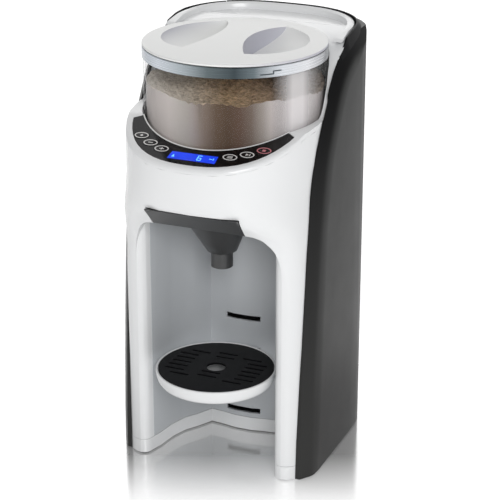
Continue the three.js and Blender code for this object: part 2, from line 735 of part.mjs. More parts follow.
// Half-round section of the bar that edges the deck
function rimSection() {
  const steps = 4;
  const section = [];
  for (let i = 0; i <= steps; i += 1) {
    const turn = (Math.PI * i) / steps;
    section.push([tankLid.rimInset + (tankLid.rimWidth * (1 - Math.cos(turn))) / 2, Math.sin(turn)]);
  }
  return section;
}

function sweptRim(path, heights, low) {
  const section = rimSection();
  const [first, last] = [section[0][0], section[section.length - 1][0]];
  const deck = body.height - gap;
  const loops = path.map(([x, y, nx, ny], i) => {
    const rise = tankLid.rimHeight * heights[i];
    const top = section.map(([inset, lift]) => [x + nx * inset, y + ny * inset, deck + rise * lift]);
    return [...top, [x + nx * last, y + ny * last, low], [x + nx * first, y + ny * first, low]];
  });
  return solidOf(lofted(loops));
}

// Raised rim of the deck, a rounded bar that fades in at its front end
function deckRim(low) {
  const outline = ovalHalf(whiteHalfWidth, whiteRearSpan, rearOval.powerShare, 20);
  const straight = [0, 0.25, 0.5, 0.75];
  const start = hopper.radius * 0.25;
  const lead = straight.map((share) => [whiteHalfWidth, start + (rearOval.centre - start) * share]);
  const rear = outline.map(([x, y]) => [x, y + rearOval.centre]);
  const tail = lead.map(([x, y]) => [-x, y]).reverse();
  const points = [...lead, ...rear, ...tail];
  const heights = points.map(([, y]) => Math.min(1, 0.1 + (y - start) / (rearOval.centre - start)));
  const path = points.map(([x, y], i) => {
    const before = points[Math.max(i - 1, 0)];
    const after = points[Math.min(i + 1, points.length - 1)];
    const length = Math.hypot(after[0] - before[0], after[1] - before[1]);
    return [x, y, (before[1] - after[1]) / length, (after[0] - before[0]) / length];
  });
  return sweptRim(path, heights, low);
}

// Keeps the rim above the deck where the deck is still rising
function insideRise() {
  const line = coverLine(-tankLid.rimHeight).filter(([y]) => y > 0);
  const low = coverLine(panel.coverThickness / 2).filter(([y]) => y > 0).reverse();
  return [...line, ...low];
}

// Crescent panel, its buttons and the display

const panelFrame = new THREE.Matrix4()
  .makeTranslation(0, -buttonReach, panelHeight(-buttonReach))
  .multiply(new THREE.Matrix4().makeRotationX(panelTilt));

function inPanelFrame(geometry) {
  geometry.applyMatrix4(panelFrame);
  return solidOf(geometry);
}

function ovalPoints(width, depth, steps = 18) {
  const points = [];
  for (let i = 0; i < steps; i += 1) {
    const turn = (2 * Math.PI * i) / steps;
    points.push([(width / 2) * Math.cos(turn), (depth / 2) * Math.sin(turn)]);
  }
  return points;
}

// Centre of each button in plan, on an arc round the hopper
function buttonPlaces() {
  const first = display.halfWidth + button.besideDisplay;
  const step = button.width + button.spacing;
  return [[-1, 2], [-1, 1], [-1, 0], [1, 0], [1, 1], [1, 2]].map(([side, k]) => {
    const turn = (side * (first + step * k)) / buttonReach;
    return [buttonReach * Math.sin(turn), -buttonReach * Math.cos(turn)];
  });
}

function onPanel([x, y]) {
  const local = new THREE.Vector3(x, y, panelHeight(y)).applyMatrix4(panelFrame.clone().invert());
  return new THREE.Matrix4().makeTranslation(local.x, local.y, 0);
}

function buttonSolid(place, levels) {
  const loops = levels.map(([grow, z]) => {
    const oval = ovalPoints(button.width + 2 * grow, button.depth + 2 * grow);
    return oval.map(([x, y]) => [x, y, z]);
  });
  const geometry = lofted(loops);
  geometry.applyMatrix4(onPanel(place));
  return inPanelFrame(geometry);
}

function buttonHole(place) {
  return buttonSolid(place, [[gap, -panel.coverThickness * 2], [gap, panel.coverThickness]]);
}

function buttonCap(place) {
  const top = button.proud;
  return buttonSolid(place, [[0, top - button.height], [0, top - button.crown], [-button.crown, top]]);
}

function crescentPlan(inner, outset, endAngle) {
  const points = [];
  const steps = 24;
  const end = THREE.MathUtils.degToRad(endAngle);
  for (let i = 0; i <= steps; i += 1) {
    const turn = -end + (2 * end * i) / steps;
    points.push([inner * Math.sin(turn), -inner * Math.cos(turn)]);
  }
  const outer = [];
  for (let i = 0; i <= steps; i += 1) {
    const turn = end - (2 * end * i) / steps;
    const [dx, dy] = [Math.sin(turn), Math.cos(turn)];
    const power = frontOval.powerShare;
    const across = Math.abs(dx / (frontOval.halfWidth - outset)) ** power;
    const along = Math.abs(dy / (frontReach - outset)) ** power;
    const radius = (across + along) ** (-1 / power);
    outer.push([dx * radius, -dy * radius]);
  }
  return [...points, ...outer];
}

function slopeBand(top, bottom) {
  const width = body.halfWidth;
  return cut(
    acrossX(underCover(-top), -width, width),
    acrossX(underCover(-bottom), -width - overrun, width + overrun),
  );
}

function panelRecess() {
  const outline = crescentPlan(hopper.radius, panel.margin - gap, panel.endAngle + panel.endGapAngle);
  return raised(outline, 0, body.height).intersect(slopeBand(overrun, -panel.thickness));
}

function controlPanel() {
  const outline = crescentPlan(hopper.radius + hopper.well, panel.margin, panel.endAngle);
  const plan = raised(outline, 0, body.height);
  const plate = plan.intersect(slopeBand(0, gap - panel.thickness));
  return cut(plate, ...buttonPlaces().map((place) => buttonHole(place)), displayOpening());
}

function displayOutline(grow) {
  const half = display.halfWidth + grow;
  const deep = display.depth / 2 + grow;
  return [[-half - display.skew, -deep], [half + display.skew * 0.4, -deep], [half, deep], [-half, deep]];
}

function displaySolid(grow, low, high) {
  const shape = shapeOf(displayOutline(grow));
  const geometry = new THREE.ExtrudeGeometry(shape, { depth: high - low, bevelEnabled: false });
  geometry.translate(0, 0, low);
  return inPanelFrame(geometry);
}

function displayOpening() {
  return displaySolid(0, -panel.coverThickness * 2, panel.coverThickness);
}

function displayWindow() {
  return displaySolid(-gap, -display.glass, 0);
}

function displayModule() {
  return displaySolid(-gap, boardTop() + gap, -display.glass - gap);
}

function boardTop() {
  return button.proud - button.height - button.travel - hair - board.switchHeight;
}

function controlBoard() {
  const top = boardTop();
  const lastButton = display.halfWidth + button.besideDisplay + 2 * (button.width + button.spacing);
  const endAngle = THREE.MathUtils.radToDeg((lastButton + board.pastButton) / buttonReach);
  const outline = crescentPlan(hopper.radius + board.inset, body.ringWall + board.edge, endAngle);
  const plan = raised(outline, 0, body.height);
  const slab = new THREE.BoxGeometry(body.halfWidth * 2, frontReach, board.thickness);
  slab.translate(0, 0, top - board.thickness / 2);
  const plate = inPanelFrame(slab).intersect(plan);
  const width = board.switchHalf * 2;
  const switches = buttonPlaces().map((place) => {
    const key = new THREE.BoxGeometry(width, width, board.switchHeight + board.thickness / 2);
    key.translate(0, 0, top + board.switchHeight / 2 - board.thickness / 4);
    key.applyMatrix4(onPanel(place));
    return inPanelFrame(key);
  });
  return join(plate, ...switches);
}

// Hopper, dosing wheel and lid

function hopperSeat() {
  const floor = drum(0, 0, seatRadius, seatUnder, seatTop, 32);
  const sleeve = cut(
    drum(0, 0, seatRadius, seatUnder, body.height, 32),
    drum(0, 0, seatRadius - seat.sleeveWall, seatUnder - overrun, body.height + overrun, 32),
  ).intersect(acrossX(seatTopLine(), -body.halfWidth, body.halfWidth));
  const chuteRadius = hopperBase.outletRadius + hopperBase.chuteWall;
  const chute = drum(0, -outletReach, chuteRadius, nozzleTipHeight() + seat.chuteDrop, seatTop, 32);
  const posts = postPlaces().map(([x, y]) => drum(x, y, drivePlate.post, plateTop + gap, seatTop, 20));
  const bores = [
    drum(0, -outletReach, chuteRadius - hopperBase.rimWall, 0, body.height, 32),
    drum(0, 0, seat.hubHole, 0, body.height, 32),
  ];
  return cut(join(floor, sleeve, chute, ...posts), ...bores);
}

// The sleeve's top slopes up towards the back, under the cover
function seatTopLine() {
  const rise = panel.rise * seat.slopeShare;
  const reach = frontReach;
  const front = panelHeight(-seatRadius) - panel.coverThickness - 2 * gap;
  return [
    [-reach, front - rise * (reach - seatRadius)], [reach, front + rise * (reach + seatRadius)],
    [reach, 0], [-reach, 0],
  ];
}

function postPlaces() {
  const side = gearPitch + drivePlate.frontReach;
  const rear = gearPitch + drivePlate.rearReach;
  return [
    [-side, -drivePlate.frontReach], [side, -drivePlate.frontReach], [-drivePlate.rearHalf, rear],
    [drivePlate.rearHalf, rear],
  ];
}

function hopperTub() {
  const r = hopper.radius;
  const neck = r - hopper.neckStep;
  const inner = neck - hopper.wall;
  return turned(closedProfile([
    [r - hopper.wall, hopper.foot], [r, hopper.foot], [r, hopper.shoulder], [neck, hopper.shoulder],
    [neck, hopper.top], [inner, hopper.top], [inner, hopper.shoulder - hopper.wall],
    [r - hopper.wall, hopper.shoulder - 2 * hopper.wall],
  ]), 48);
}

function hopperFloor() {
  const r = hopper.radius - hopper.wall - gap;
  const low = hopper.foot;
  const high = low + hopperBase.floor;
  const top = high + hopperBase.rim;
  const plate = turned(closedProfile([
    [hopperBase.bore, low], [r, low], [r, top], [r - hopperBase.rimWall, top], [r - hopperBase.rimFoot, high],
    [hopperBase.bore, high],
  ]), 36);
  return cut(plate, drum(0, -outletReach, hopperBase.outletRadius, 0, body.height, 32));
}

function dosingWheel() {
  const low = dogTop() + gap;
  const high = low + wheel.height;
  const r = hopper.radius - hopper.wall - wheel.inset;
  const bore = hopperBase.bore - gap;
  const disc = turned([
    [0, hopper.foot + gap], [bore, hopper.foot + gap], [bore, low], [r, low], [r, high], [wheel.collar, high],
    [wheel.collar, high + wheel.collarHeight], [wheel.spigot, high + wheel.collarHeight],
    [wheel.spigot, high + wheel.spigotHeight], [0, high + wheel.spigotHeight],
  ], 30);
  const pockets = [];
  for (let i = 0; i < wheel.pockets; i += 1) {
    const turn = (2 * Math.PI * (i + 0.5)) / wheel.pockets;
    const [x, y] = [outletReach * Math.sin(turn), outletReach * Math.cos(turn)];
    pockets.push(drum(x, y, hopperBase.outletRadius, 0, body.height, 10));
  }
  return cut(disc, ...pockets, dogBar(gap, hopper.foot - overrun, dogTop() + gap));
}

function dogTop() {
  return hopper.foot + hopperBase.floor;
}

function dogBar(grow, low, high) {
  const [long, wide] = [dog.halfLength + grow, dog.halfWidth + grow];
  return block(-long, long, -wide, wide, low, high);
}

function stirringPaddle() {
  const low = dogTop() + wheel.height + wheel.collarHeight + 2 * gap;
  const high = low + paddle.hubHeight;
  const hub = cut(
    drum(0, 0, paddle.hub, low, high, 20),
    drum(0, 0, wheel.spigot + gap, low - overrun, high + overrun, 20),
  );
  const reach = hopper.radius - hopper.wall - paddle.inset;
  const half = paddle.arm / 2;
  const arm = [[paddle.root, -half], [reach, -paddle.sweep], [reach, -paddle.tip], [paddle.root, half]];
  const armTop = low + paddle.arm;
  const arms = [1, -1].map((side) => raised(arm.map(([x, y]) => [x * side, y * side]), low, armTop));
  const finger = [reach - paddle.fingerInset, (paddle.sweep + paddle.tip) / 2];
  const fingers = [1, -1].map((side) =>
    drum(side * finger[0], -side * finger[1], paddle.tip, low, low + paddle.fingerHeight, 10));
  return join(hub, ...arms, ...fingers);
}

// Underside of the cap's rim, over the ring and a dark seam
function lidRimUnder() {
  return hopper.shoulder + gap + lid.ringHeight + lid.seam;
}

function lidTopHeight(radius) {
  return lidRimUnder() + lid.rimHeight + lid.dome * (1 - (radius / lid.radius) ** 2);
}

// The cap's plug, its overhanging rim and its domed top, from the middle out and back
function capProfile() {
  const plug = lid.radius - lid.ringWall - lid.seam;
  const low = hopper.top + gap + gasket.height;
  const points = [[0, low], [plug, low], [plug, lidRimUnder()], [lid.radius, lidRimUnder()]];
  return [...points, ...domeLine(lid.radius, 0)];
}

function domeLine(outer, lift) {
  const points = [];
  const steps = 4;
  for (let i = 0; i <= steps; i += 1) {
    const radius = outer * (1 - i / steps);
    points.push([radius, lidTopHeight(radius) + lift]);
  }
  return points;
}

// Hollow beside the finger bar: deepest along the bar, which is drawn in at its middle
function scoopBall(grow, side, sides = 20) {
  const ball = new THREE.SphereGeometry(1, sides, 8);
  ball.rotateX(Math.PI / 2);
  ball.scale(scoopReach + grow, scoopHalfLength + grow, scoop.depth + grow);
  ball.translate(side * lid.barHalf, 0, lidTopHeight(0) - scoop.sunk);
  const waist = lid.radius * scoop.waistShare;
  return solidOf(ball).intersect(drum(side * (lid.barHalf + waist), 0, waist + grow, 0, body.height * 2, 96));
}

function lidCap() {
  const low = hopper.top + gap + gasket.height;
  const dishRadius = lid.radius - lid.ringWall - 3 * lid.seam - gasket.width;
  const dishFloor = lidTopHeight(0) - scoop.depth - 2 * lid.wall;
  const shell = turned(capProfile(), 48);
  const dish = drum(0, 0, dishRadius, dishFloor, low + lid.seam, 24);
  const inner = dishRadius - lid.wall;
  const hollow = cut(
    turned([[0, dishFloor - overrun], [inner, dishFloor - overrun], ...domeLine(inner, -lid.wall)], 24),
    scoopBall(lid.wall, 1, 12), scoopBall(lid.wall, -1, 12),
  );
  return cut(join(shell, dish), hollow, scoopBall(0, 1), scoopBall(0, -1));
}

function lidRing() {
  const r = lid.radius;
  const low = hopper.shoulder + gap;
  const high = low + lid.ringHeight;
  const inner = r - lid.ringWall;
  const lip = inner - lid.lip;
  return turned(closedProfile([
    [inner, low], [r, low], [r, high], [lip, high], [lip, high - lid.lip], [inner, high - lid.lip],
  ]), 48);
}

function lidGasket() {
  const outer = lid.radius - lid.ringWall - lid.lip - gap;
  const inner = outer - gasket.width;
  const low = hopper.top + gap;
  const high = low + gasket.height - gap;
  return turned(closedProfile([[inner, low], [outer, low], [outer, high], [inner, high]]), 36);
}

// Drive

function toothedOutline(teeth, pitch) {
  const tip = pitch + gearModule * gearShare.addendum;
  const root = pitch - gearModule * gearShare.dedendum;
  const pitchAngle = (2 * Math.PI) / teeth;
  const half = (pitchAngle / 4) * (1 - gearShare.backlash);
  const spreads = [-gearShare.rootSpread, -gearShare.tipSpread, gearShare.tipSpread, gearShare.rootSpread];
  const points = [];
  for (let i = 0; i < teeth; i += 1) {
    spreads.forEach((spread, k) => {
      const turn = i * pitchAngle + spread * half;
      const radius = k === 1 || k === 2 ? tip : root;
      points.push([radius * Math.cos(turn), radius * Math.sin(turn)]);
    });
  }
  return points;
}

function turnedOutline(points, turn, x, y) {
  const [c, s] = [Math.cos(turn), Math.sin(turn)];
  return points.map(([px, py]) => [x + px * c - py * s, y + px * s + py * c]);
}

function driveGear() {
  const outline = turnedOutline(toothedOutline(gearDrive.gearTeeth, gearPitch), Math.PI / 2, 0, 0);
  const top = gearBottom + gearDrive.width;
  const hubTop = seatTop - gearDrive.hubDrop;
  const whole = join(
    raised(outline, gearBottom, top),
    drum(0, 0, gearDrive.hub, gearBottom, hubTop, 32),
    dogBar(0, hubTop - gearDrive.hubDrop, dogTop()),
  );
  return cut(whole, drum(0, 0, axle.radius + gap, gearBottom - overrun, gearBottom + axle.length + gap, 32));
}

function gearAxle() {
  const low = plateTop + gap;
  const flangeTop = gearBottom - gap;
  const top = gearBottom + axle.length - 2 * gap;
  return turned([
    [0, low], [axle.flange, low], [axle.flange, flangeTop], [axle.radius, flangeTop], [axle.radius, top],
    [0, top],
  ], 20);
}

function motorPinion() {
  const phase = -Math.PI / 2 + Math.PI / gearDrive.pinionTeeth;
  const outline = turnedOutline(toothedOutline(gearDrive.pinionTeeth, pinionPitch), phase, 0, motorReach);
  const top = gearBottom + gearDrive.width;
  const whole = join(
    raised(outline, gearBottom, top),
    drum(0, motorReach, gearDrive.pinionHub, gearBottom, top + gearDrive.pinionHubRise, 24),
  );
  return cut(whole, drum(0, motorReach, motor.shaft + gap, gearBottom - overrun, top + overrun, 20));
}

function drivePlatePiece() {
  const [, frontPost, , rearPost] = postPlaces();
  const frontHalf = frontPost[0] + drivePlate.margin;
  const rearHalf = rearPost[0] + drivePlate.rearMargin;
  const front = frontPost[1] - drivePlate.rearMargin;
  const waist = drivePlate.margin;
  const rear = rearPost[1] + drivePlate.rearMargin;
  const right = [[frontHalf, front], [frontHalf, waist], [rearHalf, rear]];
  const left = right.map(([x, y]) => [-x, y]).reverse();
  return cut(
    raised([...right, ...left], plateUnder, plateTop),
    drum(0, motorReach, motor.boss + gap, plateUnder - overrun, plateTop + overrun, 24),
  );
}

function powderMotor() {
  const top = plateUnder - gap;
  return turned([
    [0, top - motor.length], [motor.radius, top - motor.length],
    [motor.radius, top], [motor.boss, top], [motor.boss, plateTop + gap], [motor.shaft, plateTop + gap],
    [motor.shaft, gearBottom + gearDrive.width], [0, gearBottom + gearDrive.width],
  ], 24, 0, motorReach);
}

// Funnel drawer and water nozzle

function drawerFloor() {
  return bay.roof + body.wall + gap;
}

function funnelHolder() {
  const low = drawerFloor();
  const high = low + drawer.plate;
  const front = drawerFront();
  const back = funnel.top - funnel.centre - drawer.backTrim;
  const half = drawer.halfWidth;
  const plate = block(-half, half, front, back, low, high);
  const t = drawer.faceThickness;
  const face = acrossX([
    [front, bay.roof], [front - drawer.faceRun, drawerTop()], [front - drawer.faceRun + t, drawerTop()],
    [front + t, bay.roof + t * 0.9], [front + t * 2, high], [front + t * 2, bay.roof],
  ], -half, half);
  const rounded = raised(frontPlan(drawer.inset, 0), 0, body.height);
  const hole = drum(0, -funnel.centre, funnel.top + gap, 0, body.height, 36);
  return cut(join(plate, face.intersect(rounded)), hole);
}

function funnelPiece() {
  const rest = drawerFloor() + drawer.plate + gap;
  const neck = rest - funnel.coneHeight - funnel.neckDrop;
  const foot = neck - funnel.spoutHeight;
  const spoutCentre = funnel.centre - funnel.spoutShift;
  const rim = funnel.top + funnel.rimWidth;
  const rings = (inset) => [
    [funnel.top - inset, rest, funnel.centre], [funnel.throat - inset, neck, spoutCentre],
    [funnel.spout - inset, neck - funnel.neckStep, spoutCentre], [funnel.spout - inset, foot, spoutCentre],
  ];
  const outer = leaningTube([
    [rim, rest + funnel.rim, funnel.centre], [rim, rest, funnel.centre], ...rings(0),
  ]);
  const bore = leaningTube([
    [funnel.top - funnel.wall, rest + funnel.rim + overrun, funnel.centre], ...rings(funnel.wall),
    [funnel.spout - funnel.wall, foot - overrun, spoutCentre],
  ]);
  return cut(outer, bore);
}

// A tube of round sections at falling heights, each with its own centre
function leaningTube(rings) {
  const sides = 22;
  const loops = rings.map(([radius, z, reach]) => {
    const loop = [];
    for (let i = 0; i < sides; i += 1) {
      const turn = (2 * Math.PI * i) / sides;
      loop.push([radius * Math.cos(turn), radius * Math.sin(turn) - reach, z]);
    }
    return loop;
  });
  return solidOf(lofted(loops));
}

function nozzleTipHeight() {
  return plateUnder - gap - nozzle.drop;
}

function waterNozzle() {
  const top = plateUnder - gap;
  const tip = nozzleTipHeight();
  const wide = tip + nozzle.tipLength + nozzle.taper;
  const upright = turned([
    [0, tip], [nozzle.tip, tip], [nozzle.tip, tip + nozzle.tipLength], [nozzle.radius, wide],
    [nozzle.radius, top], [0, top],
  ], 24, nozzle.x, nozzle.y);
  const barb = drumAlongX(nozzle.y, top - nozzle.barbDrop, pump.stub, 0, nozzle.radius + nozzle.barb, 16);
  return join(upright, barb);
}

// Drip tray

function dishOutline(grow) {
  const r = tray.radius;
  const at = (up) => tray.top + tray.height * (up - 1);
  return [
    [0, at(0) - grow], [r * 0.85, at(0) - grow], [r * 0.93 + grow, at(0.13)], [r * 0.97 + grow, at(0.38)],
    [r + grow, at(1)],
  ];
}

function dripTray() {
  const top = tray.top;
  const low = top - tray.height;
  const inner = tray.radius - tray.wall;
  const ledge = top - grate.thickness - grate.sunk - gap;
  return turned([
    ...dishOutline(0), [inner, top], [inner - hair, ledge], [inner - tray.ledge, ledge],
    [tray.radius * 0.86, low + tray.height * 0.24], [0, low + tray.wall],
  ], 40, 0, -trayCentre);
}

function dripGrate() {
  const top = tray.top - grate.sunk;
  const low = top - grate.thickness;
  const r = tray.radius - tray.wall - hair - grate.ease;
  const disc = turned([[0, low], [r, low], [r, top], [0, top]], 40, 0, -trayCentre);
  const slots = [];
  for (let row = -3; row <= 3; row += 1) {
    for (const column of [-1, 0, 1]) {
      const shift = column === 0 ? 0.5 : 0;
      const y = (row + shift) * tray.radius * grate.pitchShare;
      const x = column * tray.radius * grate.columnShare * (Math.abs(row) === 3 ? 0.75 : 1);
      const fits = Math.hypot(Math.abs(x) + slotLength() / 2, y) < r - grate.margin;
      const isFinger = column === 0 && Math.abs(row) < 2;
      if (fits && !isFinger) slots.push(slotCut(x, y - trayCentre, low, top));
    }
  }
  const finger = drum(0, -trayCentre, tray.radius * grate.fingerShare, low - overrun, top + overrun, 32);
  return cut(disc, ...slots, finger);
}

function slotLength() {
  return tray.radius * grate.slotLengthShare;
}

function slotCut(x, y, low, high) {
  const points = [];
  const straight = (slotLength() - grate.slotWidth) / 2;
  const round = grate.slotWidth / 2;
  for (let i = 0; i < 6; i += 1) {
    const turn = (2 * Math.PI * (i + 0.5)) / 6 - Math.PI / 2;
    const middle = i < 3 ? x + straight : x - straight;
    points.push([middle + round * Math.cos(turn), y + round * Math.sin(turn)]);
  }
  return raised(points, low - overrun, high + overrun);
}

function trayBracket() {
  const middle = traySlotHeights()[2];
  const rear = bay.back - gap;
  const front = tray.radius * 0.86 - trayCentre;
  const half = bracket.halfWidth;
  const high = tray.slotHigh / 2 - gap;
  const arm = block(-half, half, front, rear, middle - bracket.drop, middle + bracket.rise);
  const tabEnd = bay.back + body.wall + bracket.tab;
  const tab = block(-half, half, rear - bracket.step, tabEnd, middle - high, middle + high);
  const dish = turned([...dishOutline(gap), [0, tray.top]], 40, 0, -trayCentre);
  return cut(join(arm, tab), dish);
}

// Chassis and water system

function chassisPiece() {
  const low = floorInside;
  const high = seatUnder - gap;
  const half = chassis.halfWidth;
  const front = chassis.rear - chassis.sheet;
  const near = chassis.rear - chassis.wing;
  const back = block(-half, half, front, chassis.rear, low, high);
  const wings = [-1, 1].map((side) => {
    const [a, b] = [side * half, side * (half - chassis.sheet)];
    return block(Math.min(a, b), Math.max(a, b), near, chassis.rear, low, high);
  });
  const flanges = [
    block(-half, half, near, chassis.rear, low, low + chassis.sheet),
    block(-half, half, front, chassis.rear + 2 * overrun, low, low + chassis.sheet),
  ];
  const holes = screwPlaces().map(([x, y]) => drum(x, y, base.screw + gap, low - overrun, low + overrun, 8));
  const hoseHole = drumAlongY(heater.x, heater.height + hose.rise, hose.hole, 0, rearReach, 20);
  const windowHalf = half * 0.576;
  const window = block(-windowHalf, windowHalf, 0, rearReach, tank.floor, bay.roof - 2 * overrun);
  return cut(join(back, ...wings, ...flanges), ...holes, hoseHole, window);
}

function tankPlan(inset, low, high) {
  const front = tank.front + inset;
  const drawnIn = tank.inset + inset;
  const side = raised(rearPlan(whiteHalfWidth - drawnIn, whiteRearSpan - drawnIn, 0), low, high);
  const half = tank.halfWidth - inset;
  const middle = raised(rearPlan(body.halfWidth - inset, rearSpan - inset, 0), low, high);
  const middleHalf = tankMiddle - inset;
  return join(
    side.intersect(block(-half, half, front, rearReach, low, high)),
    middle.intersect(block(-middleHalf, middleHalf, front, rearReach, low, high)),
  );
}

function waterTank() {
  const outer = tankPlan(0, tank.floor, tank.rim);
  const inner = tankPlan(tank.wall, tank.floor + tank.wall, tank.rim + overrun);
  const earFront = rearWall - tank.wall - hinge.pin;
  const earLow = hinge.axisHeight - hinge.earFoot;
  const ears = [-1, 1].map((side) => {
    const [a, b] = [side * hinge.earInner, side * (hinge.earInner + hinge.earWidth)];
    const [left, right] = [Math.min(a, b), Math.max(a, b)];
    const stem = block(left, right, earFront, rearReach, earLow, hinge.axisHeight);
    return join(stem, drumAlongX(hinge.axisReach, hinge.axisHeight, hinge.barrel, left, right));
  });
  const reach = hinge.earInner + hinge.earWidth;
  const notchLow = hinge.axisHeight - hinge.barrel - gap;
  const notchFront = rearWall - tank.notchDepth;
  const notch = block(-reach - gap, reach + gap, notchFront, rearReach, notchLow, tank.rim + overrun);
  const past = reach + overrun;
  const pinHole = drumAlongX(hinge.axisReach, hinge.axisHeight, hinge.pin + gap, -past, past);
  const drain = drum(valve.x, valve.y, valve.bore, tank.floor - overrun, tank.floor + overrun, 16);
  return cut(join(cut(outer, inner, notch), ...ears), pinHole, drain);
}

function hingePin() {
  const reach = hinge.earInner + hinge.earWidth;
  return drumAlongX(hinge.axisReach, hinge.axisHeight, hinge.pin, -reach, reach);
}

function tankLidPiece() {
  const low = tankLid.underside;
  const top = low + tankLid.plate;
  const front = tankLidFront();
  const middle = block(-tankMiddle, tankMiddle, front, rearReach, low, top);
  const cover = join(
    raised(rearPlan(whiteHalfWidth, whiteRearSpan, 0), low, top),
    raised(rearPlan(body.halfWidth, rearSpan, 0), low, top).intersect(middle),
  ).intersect(behind(front));
  const plate = join(cover, deckRim(low).intersect(behind(front)));
  const skirtInset = tank.wall + gap;
  const skirt = cut(
    tankPlan(skirtInset, tank.rim - tankLid.skirt, low + hair),
    tankPlan(skirtInset + tankLid.skirtWall, 0, low - 2 * gap),
  );
  const notchFront = rearWall - tank.notchDepth - tankLid.skirtBack;
  const backNotch = block(-body.halfWidth, body.halfWidth, notchFront, rearReach, 0, low - gap);
  const lipHalf = whiteHalfWidth - tankLid.lipInset;
  const frontLip = block(-lipHalf, lipHalf, front, front + tankLid.lip, low, body.height);
  const bore = drumAlongX(hinge.axisReach, hinge.axisHeight, hinge.pin + gap, -body.halfWidth, body.halfWidth);
  return cut(join(plate, cut(skirt, backNotch), frontLip, lidKnuckle(low)), bore);
}

// Barrel between the ears, hung from the lid by a short web
function lidKnuckle(low) {
  const half = hinge.earInner - gap;
  const { axisReach, axisHeight, barrel, pin } = hinge;
  const [front, rear] = [axisReach - pin - hair, axisReach + pin / 2];
  const web = block(-half, half, front, rear, axisHeight, low + tankLid.plate / 2);
  return join(drumAlongX(axisReach, axisHeight, barrel, -half, half), web);
}

function tankValve() {
  const low = tank.floor + tank.wall + gap + hair;
  const high = low + valve.thickness;
  return turned([
    [0, tank.floor + gap], [valve.stem, tank.floor + gap], [valve.stem, low], [valve.disc, low],
    [valve.disc, high], [valve.stem * 1.6, high], [0, high + valve.tip],
  ], 16, valve.x, valve.y);
}

function tankShelf() {
  const top = tank.floor - gap;
  const low = top - shelf.thickness;
  const half = chassis.halfWidth;
  const apron = block(-half, half, chassis.rear + gap, tank.front + shelf.apron, low, top);
  const stub = drum(valve.x, valve.y, hose.radius, low - pump.stubLength, low + shelf.thickness / 3, 24);
  const bore = drum(valve.x, valve.y, hose.radius - valve.stem, 0, body.height, 20);
  return cut(join(tankPlan(gap, low, top), apron, stub), bore);
}

function waterPump() {
  const low = floorInside;
  const r = pump.radius;
  const middle = low + r;
  const [front, rear] = [pump.y - pump.length / 2, pump.y + pump.length / 2];
  const can = drumAlongY(pump.x, middle, r, front, rear, 24);
  const cradle = block(pump.x - r * 0.8, pump.x + r * 0.8, front, rear, low, middle - r * 0.4);
  const inletStub = drum(pump.x, pump.y - pump.stubBack, pump.stub, middle, middle + r + pump.stubLength, 16);
  const outletStub = drumAlongX(pump.y, middle, pump.stub, pump.x, pump.x + r + pump.stubLength, 16);
  return join(can, cradle, inletStub, outletStub);
}

function waterHeater() {
  const low = floorInside;
  const top = low + heater.height;
  const r = heater.radius;
  const can = turned([
    [0, low], [r, low], [r, top - heater.neck], [r - heater.neck, top], [pump.stub, top],
    [pump.stub, top + pump.stubLength], [0, top + pump.stubLength],
  ], 24, heater.x, heater.y);
  const stub = drumAlongX(heater.y, low + pump.radius, pump.stub, heater.x - r - pump.stubLength, heater.x, 16);
  return join(can, stub);
}

function tankHose() {
  const top = tank.floor - shelf.thickness - pump.stubLength - 2 * gap;
  const low = floorInside + 2 * pump.radius + pump.stubLength + gap;
  const [x, y] = [pump.x, pump.y - pump.stubBack];
  return hoseAlong([
    [valve.x, valve.y, top], [valve.x, valve.y, top - hose.bend], [x, (valve.y + y) / 2, (top + low) / 2],
    [x, y, low + hose.bend], [x, y, low],
  ]);
}

function pumpHose() {
  const z = floorInside + pump.radius;
  const y = pump.y;
  const start = pump.x + pump.radius + pump.stubLength + gap;
  const end = heater.x - heater.radius - pump.stubLength - gap;
  const bend = hose.sideBend;
  return hoseAlong([
    [start, y, z], [start + bend, y, z], [(start + end) / 2, y, z + hose.sag], [end - bend, y, z], [end, y, z],
  ]);
}

function nozzleHose() {
  const top = plateUnder - gap - nozzle.barbDrop;
  const low = floorInside + heater.height + pump.stubLength + gap;
  const through = heater.height + hose.rise;
  const start = nozzle.x + nozzle.radius + nozzle.barb + gap;
  const fallShares = [[0.2, 0.055], [0.5, 0.132], [0.72, 0.319], [0.84, 0.78]];
  const fall = fallShares.map(([along, down]) => {
    const y = nozzle.y + (chassis.rear - nozzle.y) * along;
    return [heater.x, y, top + (through - top) * down];
  });
  return hoseAlong([
    [start, nozzle.y, top], [start + hose.lift, nozzle.y, top], ...fall, [heater.x, chassis.rear, through],
    [heater.x, heater.y - 2 * hose.sideBend, through - hose.sag], [heater.x, heater.y, low + hose.lift],
    [heater.x, heater.y, low],
  ]);
}

function mainBoardPiece() {
  const face = chassis.rear + gap;
  const front = face + mainBoard.standoff;
  const rear = front + mainBoard.thickness;
  const half = mainBoard.halfWidth;
  const low = mainBoard.bottom;
  const height = tank.floor - low - apart.boardToTank;
  const plate = block(-half, half, front, rear, low, low + height);
  const posts = [[-0.85, 0.08], [0.85, 0.08], [-0.85, 0.92], [0.85, 0.92]].map(([side, up]) =>
    drumAlongY(side * half, low + height * up, mainBoard.post, face, front + mainBoard.thickness / 2, 16));
  const partShares = [
    [-0.7, -0.1, 2.3, 0.64, 0.86], [0.15, 0.8, 1.3, 0.6, 0.81], [-0.5, 0.6, 0.7, 0.14, 0.4],
  ];
  const parts = partShares.map(([left, right, deep, from, to]) => {
    const [under, over] = [low + height * from, low + height * to];
    return block(half * left, half * right, rear - gap, rear + mainBoard.standoff * deep, under, over);
  });
  return join(plate, ...posts, ...parts);
}

